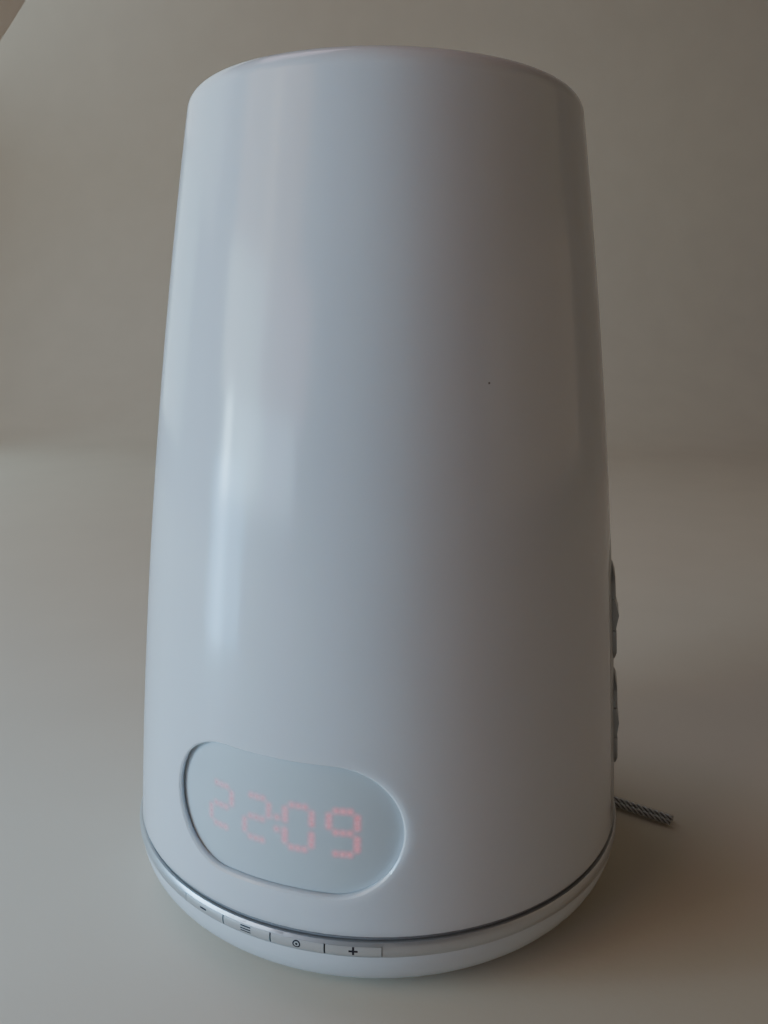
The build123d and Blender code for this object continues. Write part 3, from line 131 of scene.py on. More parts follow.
# %% The route
LEAD_EXIT = (16.0, 73.5, 2.2)
TO_THE_COIL = [LEAD_EXIT, (16.0, 91.0, 2.2), (3.2, 103.8, 2.2), (-22.0, 103.8, 2.2)]
FROM_THE_COIL = [
    (-22.0, 165.8, 8.6),
    (-2.0, 165.8, 8.6),
    (19.0, 163.0, 4.8),
    (39.0, 154.0, 1.9),
    (54.0, 138.0, 1.7),
    (60.5, 118.0, 1.7),
    (58.5, 97.0, 1.7),
    (57.0, 78.0, 1.7),
    (60.5, 62.0, 1.7),
    (70.5, 50.7, 1.7),
    (87.0, 46.9, 1.7),
    (103.6, 42.4, 1.7),
]
COIL_CENTRE = (-42.0, 134.8)
COIL_RADIUS = 31.3
COIL_LOW, COIL_PITCH, COIL_TURNS = 2.2, 3.2, 2.5
COIL_START = 270  # degrees round the coil
STEPS = 16  # points to a turn
CLIMB_STEPS = 3

# %% [markdown]
# Each turn of the coil lies flat on the one below, and climbs to the next layer only in its
# last three steps. A helix that climbs all the way round would be simpler, but its turns
# would not rest on each other.

# %% The coil's points
coil_points = []
for step in range(int(COIL_TURNS * STEPS) + 1):
    turn, part = divmod(step, STEPS)
    climb = turn + max(0.0, (part - STEPS + CLIMB_STEPS) / CLIMB_STEPS)
    angle = math.radians(COIL_START - 360 * step / STEPS)
    coil_points.append(
        (
            COIL_CENTRE[0] + COIL_RADIUS * math.cos(angle),
            COIL_CENTRE[1] + COIL_RADIUS * math.sin(angle),
            COIL_LOW + COIL_PITCH * climb,
        )
    )
lead_points = TO_THE_COIL + coil_points + FROM_THE_COIL
print(len(lead_points), "points on the lead")


# %% The route as one smooth curve
SLEEVE_STEPS, STRAND_STEPS = 12, 34  # from one point of the route to the next


def nurbs_points(points, resolution):
    """Points read from the smooth curve that a route's points control, in metres."""
    curve = bpy.data.curves.new("route", "CURVE")
    curve.dimensions = "3D"
    curve.resolution_u = resolution
    spline = curve.splines.new("NURBS")
    spline.points.add(len(points) - 1)
    for point, place in zip(spline.points, points):
        point.co = (*(MM * x for x in place), 1)
    spline.order_u = 3
    spline.use_endpoint_u = True
    holder = bpy.data.objects.new("route", curve)
    line = bpy.data.meshes.new_from_object(holder)
    places = [vertex.co.copy() for vertex in line.vertices]
    bpy.data.objects.remove(holder)
    return places


lead_line = nurbs_points(lead_points, SLEEVE_STEPS)
fine_line = nurbs_points(lead_points, STRAND_STEPS)
lead_length = sum((b - a).length for a, b in zip(lead_line, lead_line[1:]))
print("the lead is", round(lead_length, 3), "m long, in", len(fine_line), "fine steps")

# %% [markdown]
# ### Sleeve and strands
# The sleeve's section is a figure of eight: two round cores with a web between them. Blender
# sweeps a closed profile along a curve by itself, and with the Z Up setting the section stays
# level all the way, so the flat lead doesn't roll over. Each core is three silver strands
# laid together. A clover profile that turns as it goes gives just that, from one sweep. The
# tilt of a curve's point stops at sixty turns, so whole turns are left out of it.

# %% Sweep a profile
LAY = 6.75  # millimetres to one full turn of the strands


def swept(points, profile, turns_every=None):
    """Mesh of a closed profile, in millimetres, swept along points."""
    outline = bpy.data.curves.new("profile", "CURVE")
    ring = outline.splines.new("POLY")
    ring.points.add(len(profile) - 1)
    for point, (x, y) in zip(ring.points, profile):
        point.co = (MM * x, MM * y, 0, 1)
    ring.use_cyclic_u = True
    outline_holder = bpy.data.objects.new("profile", outline)
    bpy.context.scene.collection.objects.link(outline_holder)
    curve = bpy.data.curves.new("sweep", "CURVE")
    curve.dimensions = "3D"
    curve.twist_mode = "Z_UP"
    curve.bevel_mode = "OBJECT"
    curve.bevel_object = outline_holder
    curve.use_fill_caps = True
    spline = curve.splines.new("POLY")
    spline.points.add(len(points) - 1)
    run = 0.0
    for i, point in enumerate(spline.points):
        point.co = (*points[i], 1)
        if turns_every:
            run += (points[i] - points[i - 1]).length if i else 0.0
            point.tilt = 2 * math.pi * (run / (MM * turns_every) % 1)
    holder = bpy.data.objects.new("sweep", curve)
    bpy.context.scene.collection.objects.link(holder)
    dependencies = bpy.context.evaluated_depsgraph_get()
    mesh = bpy.data.meshes.new_from_object(holder.evaluated_get(dependencies))
    bpy.data.objects.remove(holder)
    bpy.data.objects.remove(outline_holder)
    return mesh


# %% The sleeve's profile
CORE_RADIUS = 1.5
CORE_ASIDE = 1.6
WEB_HALF = 0.75
CORE_STEPS = 8


def figure_of_eight():
    """Outline of the sleeve: two round cores and the web between them."""
    waist = math.degrees(math.asin(WEB_HALF / CORE_RADIUS))
    outline = []
    for side in (1, -1):
        for i in range(CORE_STEPS + 1):
            angle = math.radians(-180 + waist + i * (360 - 2 * waist) / CORE_STEPS)
            x = CORE_ASIDE + CORE_RADIUS * math.cos(angle)
            outline.append((side * x, side * CORE_RADIUS * math.sin(angle)))
    return outline


print("sleeve profile of", len(figure_of_eight()), "points")

# %% The strands' profile
STRANDS = 3
STRAND_RADIUS = 0.56
CLOVER_MEAN, CLOVER_SWING = 1.62, 0.5  # in radii of a strand
CLOVER_POINTS = 12


def clover():
    """Outline of three strands that touch each other."""
    outline = []
    for i in range(CLOVER_POINTS):
        angle = 2 * math.pi * i / CLOVER_POINTS
        reach = STRAND_RADIUS * (CLOVER_MEAN + CLOVER_SWING * math.cos(STRANDS * angle))
        outline.append((reach * math.cos(angle), reach * math.sin(angle)))
    return outline


print("strands' profile of", len(clover()), "points")

# %% [markdown]
# The sleeve and its two cores are one piece with two materials, so they are joined into one
# bmesh, and the faces of the cores are given the second material. A vertex attribute called
# strand is 1 on the crest of each strand and 0 in the grooves between them. The strands'
# finish reads it to paint a highlight on each crest and shade in each groove.

# %% Join the lead
ABOVE = Vector((0, 0, 1))


def beside(points, aside):
    """Points moved level and square to the line, by aside millimetres."""
    moved = []
    for i, point in enumerate(points):
        before = points[max(i - 1, 0)]
        after = points[min(i + 1, len(points) - 1)]
        square = (after - before).cross(ABOVE).normalized()
        moved.append(point + MM * aside * square)
    return moved


lead_bm = bmesh.new()
lead_bm.from_mesh(swept(lead_line, figure_of_eight()))
sleeve_faces = len(lead_bm.faces)
print("sleeve faces", sleeve_faces)
# The strand value is 1 on each strand's crest and 0 in its grooves. The strands' finish turns
# it into a painted highlight and painted shade.
strand = lead_bm.verts.layers.float.new("strand")
for aside in (-CORE_ASIDE, CORE_ASIDE):
    before = len(lead_bm.verts)
    lead_bm.from_mesh(swept(beside(fine_line, aside), clover(), turns_every=LAY))
    lead_bm.verts.ensure_lookup_table()
    for i, vertex in enumerate(lead_bm.verts[before:]):
        vertex[strand] = 0.5 + 0.5 * math.cos(STRANDS * 2 * math.pi * i / CLOVER_POINTS)
lead_bm.faces.ensure_lookup_table()
for face in lead_bm.faces:
    face.material_index = 0 if face.index < sleeve_faces else 1
lead = finish_piece(lead_bm, "aerial_lead_twin", "housing")
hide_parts("aerial_lead", "aerial_coil", "aerial_tail")
print("lead has", len(lead.data.polygons), "faces")

# %% [markdown]
# ## Shader sums as plain sums
# A finish is a small sum: the same noise darkens the colour, roughens the gloss and lifts the
# surface. Wired by hand, that is a node for each plus and times. The class below wraps a
# node's output so that Python's own signs add the Math nodes.


# %% Wires that can be added up
class Wire:
    """A node's output, which can be used in sums like a number."""

    def __init__(self, finish, socket):
        self.finish = finish
        self.socket = socket

    def math(self, operation, left, right):
        sockets = {0: left, 1: right}
        return self.finish.node("ShaderNodeMath", {"operation": operation}, sockets)

    def __add__(self, other):
        return self.math("ADD", self, other)

    def __sub__(self, other):
        return self.math("SUBTRACT", self, other)

    def __rsub__(self, other):
        return self.math("SUBTRACT", other, self)

    def __mul__(self, other):
        return self.math("MULTIPLY", self, other)

    def __pow__(self, other):
        return self.math("POWER", self, other)

    def above(self, limit):
        return self.math("GREATER_THAN", self, limit)

    def below(self, limit):
        return self.math("LESS_THAN", self, limit)

    __radd__ = __add__
    __rmul__ = __mul__


# %% [markdown]
# ### A finish
# A finish owns one material. Numbers that are the same all over go straight onto the shader's
# sockets, and only colour, metal, roughness, glow, alpha and bump are fed by patterns. The
# patterns read Object coordinates, in metres, so a noise of scale 1000 has grains of a
# millimetre.


# %% The finish class
class Finish:
    """One material, with its shader and its patterns."""

    def __init__(self, name, **constants):
        self.material = bpy.data.materials.new(name)
        self.material.use_nodes = True
        self.tree = self.material.node_tree
        self.shader = self.tree.nodes["Principled BSDF"]
        for words, value in constants.items():
            self.feed(words.replace("_", " ").title().replace("Ior", "IOR"), value)
        self.place = self.node("ShaderNodeTexCoord", {}, {}, output="Object")

    def feed(self, socket_name, value):
        self.join(self.shader.inputs[socket_name], value)

    def join(self, socket, value):
        if isinstance(value, Wire):
            self.tree.links.new(value.socket, socket)
        elif socket.type == "RGBA":
            socket.default_value = (*value[:3], 1.0)
        else:
            socket.default_value = value

    def node(self, kind, settings, inputs, output=0):
        made = self.tree.nodes.new(kind)
        for words, value in settings.items():
            setattr(made, words, value)
        for socket_name, value in inputs.items():
            self.join(made.inputs[socket_name], value)
        return Wire(self, made.outputs[output])

    def stretched(self, scale):
        return self.node("ShaderNodeMapping", {}, {"Vector": self.place, "Scale": scale})

    def noise(self, scale, detail=2.0, stretch=None):
        place = self.stretched(stretch) if stretch else self.place
        sockets = {"Vector": place, "Scale": scale, "Detail": detail}
        return self.node("ShaderNodeTexNoise", {}, sockets)

    def between(self, factor, low, high):
        """A colour between low and high."""
        sockets = {0: factor, 6: low, 7: high}
        return self.node("ShaderNodeMix", {"data_type": "RGBA"}, sockets, output=2)

    def cells(self, scale):
        """Distance from the middle of the nearest cell."""
        sockets = {"Vector": self.place, "Scale": scale}
        return self.node("ShaderNodeTexVoronoi", {"feature": "F1"}, sockets)

    def bump(self, height, depth):
        sockets = {"Height": height, "Distance": depth, "Strength": 1.0}
        self.feed("Normal", self.node("ShaderNodeBump", {}, sockets))


# %% [markdown]
# ## Moulded plastic
# Most pieces are injection moulded. Seen close, such plastic is a little cloudy, has a fine
# grain from the mould, and carries dust. One recipe gives all three, and each piece chooses
# its colour, its gloss and the depth of its grain.


# %% A recipe for moulded plastic
CLOUD_SCALE = 16.0
SPECK_SCALE, SPECK_SIZE = 60.0, 0.022
PATCH_SCALE = 37.0


def shade_of(colour, factor):
    return tuple(min(1.0, factor * x) for x in colour)


def moulded(name, colour, gloss, grain=0.00001, grain_scale=1500.0, dust=0.0, **constants):
    """Plastic with clouds, grain and dust; gloss is the mean roughness."""
    finish = Finish(name, **constants)
    clouds = finish.noise(CLOUD_SCALE)
    pores = finish.noise(grain_scale)
    tint = finish.between(clouds, shade_of(colour, 0.95), shade_of(colour, 1.03))
    if dust:
        patches = finish.noise(PATCH_SCALE, detail=0.0)
        speck = finish.cells(SPECK_SCALE).below(SPECK_SIZE) * patches.above(1.0 - dust)
        tint = finish.between(speck, tint, shade_of(colour, 0.35))
    finish.feed("Base Color", tint)
    finish.feed("Roughness", gloss + 0.08 * (clouds - 0.5) + 0.02 * (pores - 0.5))
    finish.bump(pores, grain)
    return finish.material


# %% [markdown]
# ### The shade, its window and the bowl
# The shade is a milky plastic that light passes into, so most of its light is scattered under
# the surface, and its satin gloss spreads the windows that it mirrors into soft streaks. The
# display's window is given a cooler, greyer colour: painted shade, because the dark board
# behind it sends little light back through the milky plastic.

# %% Shell finishes
finishes = {}
finishes["shade_milky"] = moulded(
    "shade_milky",
    (0.70, 0.73, 0.78),
    0.15,
    grain=0.000001,
    grain_scale=420.0,
    dust=0.36,
    subsurface_weight=0.8,
    subsurface_radius=(1.0, 0.95, 0.9),
    subsurface_scale=0.005,
)
# Painted shade: the window is greyer and darker than the shade, for the dark board behind it.
finishes["window_milky"] = moulded(
    "window_milky", (0.55, 0.61, 0.64), 0.30, grain=0.000004, grain_scale=500.0, dust=0.3
)
finishes["bowl_white"] = moulded(
    "bowl_white", (0.66, 0.70, 0.74), 0.24, grain=0.000004, grain_scale=420.0, dust=0.3
)
finishes["cover_white"] = moulded(
    "cover_white", (0.78, 0.78, 0.78), 0.45, grain=0.00004, dust=0.3
)
finishes["deck_white"] = moulded("deck_white", (0.84, 0.84, 0.82), 0.5, grain=0.00002)
print(len(finishes), "shell finishes")


# %% [markdown]
# ### Silver paint
# The band, its buttons and the side panel are plastic under a silver lacquer. Its metal flakes
# are about a tenth of a millimetre wide: seen close, each one is a little brighter or duller
# than the next. A pure metal would look like bare steel, so part of the light is still
# scattered by the lacquer.


# %% A recipe for silver paint
FLAKE_SCALE = 9000.0
PEEL_SCALE, PEEL_DEPTH = 700.0, 0.000006


def silver_paint(name, colour, gloss, metal):
    """Lacquer with fine metal flakes; metal is how much of it mirrors."""
    finish = Finish(name, coat_weight=0.15, coat_roughness=0.25)
    flakes = finish.cells(FLAKE_SCALE)
    clouds = finish.noise(22.0)
    peel = finish.noise(PEEL_SCALE)
    sparkle = 0.5 * flakes + 0.5 * clouds
    dull, bright = shade_of(colour, 0.88), shade_of(colour, 1.1)
    finish.feed("Base Color", finish.between(sparkle, dull, bright))
    finish.feed("Metallic", metal + 0.2 * (flakes - 0.5))
    finish.feed("Roughness", gloss + 0.12 * (clouds - 0.5) + 0.10 * (flakes - 0.5))
    finish.bump(peel, PEEL_DEPTH)
    return finish.material


PAINTS = {  # colour, gloss, metal
    "band_silver": ((0.58, 0.60, 0.62), 0.37, 0.72),
    "front_button_silver": ((0.64, 0.66, 0.68), 0.36, 0.70),
    "panel_grey": ((0.46, 0.48, 0.49), 0.42, 0.35),
    "side_button_grey": ((0.42, 0.44, 0.45), 0.40, 0.35),
}
for name, recipe in PAINTS.items():
    finishes[name] = silver_paint(name, *recipe)
print(len(PAINTS), "silver paints")


# %% [markdown]
# ### Bare metal
# Metal shows the tool that shaped it. Noise that is stretched along one axis gives the fine
# lines of rolling or turning, and a second, coarser noise gives the patina.


# %% A recipe for metal
SCRATCH_SCALE, SCRATCH_DEPTH = 900.0, 0.00001
PATINA_SCALE = 90.0


def bare_metal(name, colour, gloss, lines=(1.0, 1.0, 12.0)):
    """Metal with fine tool lines; lines stretches the noise."""
    finish = Finish(name, metallic=1.0)
    scratches = finish.noise(SCRATCH_SCALE, detail=3.0, stretch=lines)
    patina = finish.noise(PATINA_SCALE)
    dull, bright = shade_of(colour, 0.8), shade_of(colour, 1.08)
    finish.feed("Base Color", finish.between(patina, dull, bright))
    finish.feed("Roughness", gloss + 0.16 * (scratches - 0.5) + 0.12 * (patina - 0.5))
    finish.bump(scratches, SCRATCH_DEPTH)
    return finish.material


METALS = {  # colour, gloss, and the stretch where it isn't the usual one
    "screw_steel": ((0.58, 0.58, 0.57), 0.32),
    "dome_steel": ((0.70, 0.70, 0.69), 0.22),
    "cap_nickel": ((0.72, 0.70, 0.66), 0.25),
    "sink_aluminium": ((0.66, 0.67, 0.68), 0.34, (12.0, 12.0, 1.0)),
    "pin_brass": ((0.74, 0.64, 0.38), 0.24, (12.0, 1.0, 12.0)),
    "speaker_steel": ((0.10, 0.10, 0.10), 0.45),
}
for name, recipe in METALS.items():
    finishes[name] = bare_metal(name, *recipe)
print(len(METALS), "metals")


# %% [markdown]
# ### Stripes
# Three pieces are built up in layers: the transformer's core of thin sheets, its winding under
# yellow tape, and the lead's tie of ribbed paper. A wave texture along one axis draws such
# layers, and its height gives each its own edge.


# %% A recipe for layers
def layered(name, colour, gloss, direction, scale, depth, **constants):
    """A surface in even layers that follow each other along a direction."""
    finish = Finish(name, **constants)
    sockets = {"Vector": finish.place, "Scale": scale, "Distortion": 0.6, "Detail": 1.0}
    layers = finish.node("ShaderNodeTexWave", {"bands_direction": direction}, sockets)
    wear = finish.noise(160.0)
    tone = 0.7 * layers + 0.3 * wear
    dull, bright = shade_of(colour, 0.62), shade_of(colour, 1.12)
    finish.feed("Base Color", finish.between(tone, dull, bright))
    finish.feed("Roughness", gloss + 0.15 * (wear - 0.5))
    finish.bump(layers, depth)
    return finish.material


finishes["core_steel"] = layered(
    "core_steel", (0.32, 0.31, 0.30), 0.45, "Y", 320.0, 0.00008, metallic=0.9
)
finishes["bobbin_yellow"] = layered(
    "bobbin_yellow", (0.72, 0.56, 0.12), 0.35, "Z", 60.0, 0.00005
)
finishes["tie_white"] = layered("tie_white", (0.74, 0.74, 0.72), 0.6, "Z", 500.0, 0.00004)


# %% [markdown]
# ### Circuit boards
# Under the green mask the copper tracks stand a little proud and look lighter. A brick texture
# already has long runs with gaps between them, so at a small scale its mortar reads as tracks.


# %% A recipe for boards
BLACK, WHITE = (0.0, 0.0, 0.0), (1.0, 1.0, 1.0)


def circuit_board(name, mask, track):
    """Solder mask over copper tracks."""
    finish = Finish(name, coat_weight=0.3, coat_roughness=0.15)
    tracks = finish.node(
        "ShaderNodeTexBrick",
        {"offset": 0.37, "squash": 1.6, "squash_frequency": 3},
        {
            "Vector": finish.place,
            "Color1": BLACK,
            "Color2": BLACK,
            "Mortar": WHITE,
            "Scale": 70.0,
            "Mortar Size": 0.035,
        },
        output="Fac",
    )
    weave = finish.noise(1400.0)
    finish.feed("Base Color", finish.between(tracks, mask, track))
    finish.feed("Roughness", 0.34 + 0.14 * (weave - 0.5))
    finish.bump(tracks + 0.2 * weave, 0.00004)
    return finish.material


finishes["board_green"] = circuit_board("board_green", (0.02, 0.13, 0.06), (0.07, 0.27, 0.12))

# %% [markdown]
# ### The other inner pieces and the dark ones
# They are small or hidden, but each gets the grain of its own stuff: rubber is matt and
# pitted, ferrite is sintered, paper pulp is felted, and glazed ceramic is smooth with small
# pinholes. The recipe for moulded plastic serves them all, so each is one line of a table.

# %% The remaining plastics, rubber, paper and ceramic
GRAINED = {  # colour, gloss, depth and scale of the grain, and dust where there is any
    "reflector_white": ((0.86, 0.86, 0.85), 0.32, 0.00001, 600.0),
    "plate_grey": ((0.20, 0.20, 0.21), 0.62, 0.00006, 1100.0, 0.3),
    "foot_rubber": ((0.045, 0.045, 0.047), 0.82, 0.00008, 800.0),
    "chassis_grey": ((0.22, 0.225, 0.24), 0.5, 0.00003, 1200.0),
    "baffle_dark": ((0.05, 0.05, 0.055), 0.7, 0.00004, 1200.0),
    "inlet_black": ((0.025, 0.025, 0.027), 0.5, 0.00003, 1500.0),
    "switch_black": ((0.03, 0.03, 0.032), 0.48, 0.00003, 1500.0),
    "capacitor_sleeve": ((0.03, 0.035, 0.07), 0.25, 0.000006, 500.0),
    "led_red": ((0.62, 0.05, 0.03), 0.3, 0.000006, 900.0),
    "strip_amber": ((0.46, 0.20, 0.02), 0.28, 0.00001, 700.0),
    "holder_ceramic": ((0.80, 0.77, 0.70), 0.18, 0.00003, 260.0, 0.4),
    "cone_paper": ((0.05, 0.048, 0.045), 0.85, 0.0001, 900.0),
    "magnet_ferrite": ((0.06, 0.06, 0.06), 0.6, 0.00008, 700.0),
    "grommet_rubber": ((0.10, 0.10, 0.10), 0.75, 0.00005, 900.0),
    "print_dark": ((0.016, 0.015, 0.028), 0.5, 0.00001, 1500.0),
}
for name, recipe in GRAINED.items():
    finishes[name] = moulded(name, *recipe)
print(len(GRAINED), "grained finishes")


# %% [markdown]
# ### Glass
# Glass lets light through, so its transmission is a constant of the shader. What changes over
# it is slight: a faint film of dust on the bulb, in its colour, its gloss and its face.

# %% The bulb's glass
CLEAR = (0.96, 0.97, 0.97)
glass = Finish("bulb_glass", transmission_weight=0.94, ior=1.48)
film = glass.noise(60.0)
glass.feed("Base Color", glass.between(film, shade_of(CLEAR, 0.94), CLEAR))
glass.feed("Roughness", 0.02 + 0.08 * film)
glass.bump(film, 0.00001)
finishes["bulb_glass"] = glass.material

# %% [markdown]
# The lead's sleeve is thin, and light that is bent twice on its way to the strands and back is
# slow to find. So the sleeve isn't bent light but a faint gloss with most of it left clear.

# %% Sleeve and strands
sleeve = Finish(
    "lead_clear", base_color=(0.60, 0.60, 0.59), coat_weight=1.0, coat_roughness=0.05
)
draw_marks = sleeve.noise(300.0)
sleeve.feed("Roughness", 0.12 + 0.1 * draw_marks)
sleeve.feed("Alpha", 0.05 + 0.08 * draw_marks)
sleeve.bump(draw_marks, 0.00004)
finishes["lead_clear"] = sleeve.material

# The strands' colour is painted light: painted shade in the grooves between the strands and a
# painted highlight on their crests.
GROOVE_PAINTED_SHADE, CREST_PAINTED_HIGHLIGHT = (0.05, 0.045, 0.04), (0.97, 0.97, 0.96)
strands = Finish("strand_silver", metallic=0.15)
crest = strands.node("ShaderNodeAttribute", {"attribute_name": "strand"}, {}, output="Fac")
tarnish = strands.noise(400.0)
painted_highlight = crest**0.9
strands.feed("Base Color", strands.between(painted_highlight, GROOVE_PAINTED_SHADE, CREST_PAINTED_HIGHLIGHT))
strands.feed("Roughness", 0.30 - 0.16 * painted_highlight + 0.1 * tarnish)
strands.bump(tarnish, 0.00001)
print("the lead takes", sleeve.material.name, "and", strands.material.name)

# %% [markdown]
# ## Finishes onto the pieces
# The record names a slot for each node, and each slot has a finish of the same name. The
# meshes of the nodes are left alone: only the materials on them are changed. The lead has two,
# first the sleeve's and then the strands'.

# %% Dress the nodes
slot_of = {part["node"]: part["material_slot"] for part in frame["record"]["subparts"]}
for name, node in nodes.items():
    for material_slot in node.material_slots:
        material_slot.material = finishes[slot_of[name]]
lead.data.materials.append(finishes["lead_clear"])
lead.data.materials.append(strands.material)
print("dressed", len(nodes), "nodes with", len(set(slot_of.values())), "finishes")

# %% [markdown]
# ## The lit digits
# Behind the milky window stand small red LEDs, five across and nine up for each digit, of
# which only the segments' dots are fitted. The window spreads each one into a soft round glow.
# It could be left to the renderer to scatter light through the window, but that is slow and
# noisy. A small disc on the window for each lit dot, bright in its middle and clear at its
# rim, looks the same.

# %% Which dots are lit
DIGIT_RADIUS = 81.0
DOT_STEP_ACROSS, DOT_STEP_UP = 1.96, 1.533
DIGIT_LEFTS = (-16.3, -7.36, 1.76, 10.74)  # degrees round from the front
DIGITS_LOW = 44.85
CLOCK_READS = "2209"
COLON_HEIGHTS = (49.2, 52.65)
BARS = {
    "top": [(1, 8), (2, 8), (3, 8)],
    "middle": [(1, 4), (2, 4), (3, 4)],
    "bottom": [(1, 0), (2, 0), (3, 0)],
    "upper_left": [(0, 5), (0, 6), (0, 7)],
    "upper_right": [(4, 5), (4, 6), (4, 7)],
    "lower_left": [(0, 1), (0, 2), (0, 3)],
    "lower_right": [(4, 1), (4, 2), (4, 3)],
}
DARK_BARS = {
    "2": ("upper_left", "lower_right"),
    "0": ("middle",),
    "9": ("lower_left",),
}
dot_places = [(0.0, height) for height in COLON_HEIGHTS]
for digit, left in zip(CLOCK_READS, DIGIT_LEFTS):
    for bar, dots in BARS.items():
        if bar not in DARK_BARS[digit]:
            for column, row in dots:
                azimuth = left + math.degrees(column * DOT_STEP_ACROSS / DIGIT_RADIUS)
                dot_places.append((azimuth, DIGITS_LOW + row * DOT_STEP_UP))
print(len(dot_places), "dots are lit")


# %% [markdown]
# The side of the lamp is an arc, so the window's radius changes with the height. The arc goes
# through the foot, the waist and the shoulder of the shade, and the same circle is found here
# from these three points, to set each disc just in front of the window.


# %% The side's arc
FOOT, WAIST, SHOULDER = (84.05, 22.6), (74.3, 139.8), (59.6, 250.0)  # radius and height


def circle_through(a, b, c):
    """Centre and radius of the circle through three points."""
    turn = 2 * (a[0] * (b[1] - c[1]) + b[0] * (c[1] - a[1]) + c[0] * (a[1] - b[1]))
    sa, sb, sc = (p[0] ** 2 + p[1] ** 2 for p in (a, b, c))
    x = (sa * (b[1] - c[1]) + sb * (c[1] - a[1]) + sc * (a[1] - b[1])) / turn
    y = (sa * (c[0] - b[0]) + sb * (a[0] - c[0]) + sc * (b[0] - a[0])) / turn
    return x, y, math.hypot(a[0] - x, a[1] - y)


side_x, side_z, side_curve = circle_through(FOOT, WAIST, SHOULDER)


def side_radius(height):
    """Radius of the shade's outer face at a height, in millimetres."""
    return side_x + math.sqrt(side_curve**2 - (height - side_z) ** 2)


print("radius at the display", round(side_radius(DIGITS_LOW), 2))

# %% [markdown]
# Each disc faces outward from the lamp's axis and leans back with the side. A vertex attribute
# called glow is 1 in the disc's middle and 0 at its rim, and the material reads it.


# %% A place for each dot
WINDOW_INSET = 2.25  # from the shade's outer face in to the window's
DISC_RAISE = 0.06


def facing_out(azimuth, height):
    """Matrix that sets a flat shape on the window, at an azimuth and a height."""
    angle = math.radians(azimuth)
    radius = side_radius(height) - WINDOW_INSET + DISC_RAISE
    lean_back = math.atan2(side_radius(height - 1) - side_radius(height + 1), 2)
    at = round_the_lamp(MM * radius, angle, MM * height)
    upright = Matrix.Rotation(math.pi / 2 - lean_back, 4, "X")
    return Matrix.Translation(at) @ Matrix.Rotation(angle, 4, "Z") @ upright


print("first dot at", facing_out(*dot_places[0]).translation)

# %% Soft discs
GLOW_RADIUS = 1.9
DISC_SIDES = 24
MIDDLE_WITHIN = 0.5  # only a disc's middle vertex is this near to its place
dots_bm = bmesh.new()
glow = dots_bm.verts.layers.float.new("glow")
for azimuth, height in dot_places:
    place = facing_out(azimuth, height)
    disc = bmesh.ops.create_circle(
        dots_bm,
        cap_ends=True,
        cap_tris=True,
        segments=DISC_SIDES,
        radius=MM * GLOW_RADIUS,
        matrix=place,
    )
    for vertex in disc["verts"]:
        if (vertex.co - place.translation).length < MM * MIDDLE_WITHIN:
            vertex[glow] = 1.0
lit_digits = finish_piece(dots_bm, "lit_digits", "housing")

# %% [markdown]
# The window stays pale under a dot, and red light is added to it. The dots further to the
# right are clearer, because the window mirrors less of the room there.

# %% The glow's finish
RIM_RED, MIDDLE_RED = (0.8, 0.10, 0.14), (1.0, 0.12, 0.16)
GLOW_ALPHA, GLOW_FLICKER, GLOW_TO_RIGHT = 0.36, 0.25, 1.8
dot_glow = Finish(
    "dot_glow", base_color=(0.62, 0.60, 0.65), roughness=0.3, emission_strength=0.58
)
brightness = dot_glow.node("ShaderNodeAttribute", {"attribute_name": "glow"}, {}, output="Fac")
across = dot_glow.node("ShaderNodeSeparateXYZ", {}, {"Vector": dot_glow.place})
flicker = dot_glow.noise(120.0)
soft = brightness**1.5
dot_glow.feed("Emission Color", dot_glow.between(soft, RIM_RED, MIDDLE_RED))
cover = GLOW_ALPHA + GLOW_FLICKER * flicker + GLOW_TO_RIGHT * across
dot_glow.feed("Alpha", soft * cover)
lit_digits.data.materials.append(dot_glow.material)
print("glow over", len(lit_digits.data.polygons), "faces")

# %% [markdown]
# ## Marks on the front buttons
# The four buttons carry dark printed marks: minus, three bars for the menu, a ring for select,
# and plus. Each mark is drawn flat, then every point is moved onto the band's curved face, so
# that the print follows it. A texture could do it too, but a thin solid stays sharp close up.

# %% The band's face
BAND_MIDDLE = 18.9
BAND_CREST = 85.2
BAND_CURVE = 4.129  # radius of the band's convex section
PRINT_RAISE = 0.02
PRINT_THICK = 0.06


def band_face(height):
    """Radius of the band's face at a height."""
    return BAND_CREST - BAND_CURVE + math.sqrt(BAND_CURVE**2 - (height - BAND_MIDDLE) ** 2)


def printed_mark(bm, name, azimuth, body):
    """Lay a flat mark, drawn in millimetres, on the band at an azimuth."""
    bmesh.ops.solidify(bm, geom=bm.faces[:], thickness=PRINT_THICK)
    for vertex in bm.verts:
        across, up, depth = vertex.co
        height = BAND_MIDDLE + up
        outer = PRINT_THICK if depth > 0.5 * PRINT_THICK else 0.0
        radius = band_face(height) + PRINT_RAISE + outer
        angle = math.radians(azimuth) + across / BAND_CREST
        vertex.co = MM * round_the_lamp(radius, angle, height)
    mark = finish_piece(bm, name, body, smooth=False)
    mark.data.materials.append(finishes["print_dark"])
    return mark


# %% Bars
BAR_LONG, BAR_WIDE = 2.5, 0.6
ARM = (BAR_LONG - BAR_WIDE) / 2
ARM_UP = (BAR_LONG + BAR_WIDE) / 4
MENU_LONG, MENU_WIDE, MENU_STEP = 3.4, 0.38, 0.8


def draw_bar(bm, width, height, up=0.0):
    """A flat bar of a few cells, so that it can bend round the band."""
    size = Matrix.Translation((0, up, 0)) @ Matrix.Diagonal((width, height, 1, 1))
    bmesh.ops.create_grid(bm, x_segments=6, y_segments=2, size=0.5, matrix=size)


minus = bmesh.new()
draw_bar(minus, BAR_LONG, BAR_WIDE)

menu = bmesh.new()
for up in (-MENU_STEP, 0.0, MENU_STEP):
    draw_bar(menu, MENU_LONG, MENU_WIDE, up)

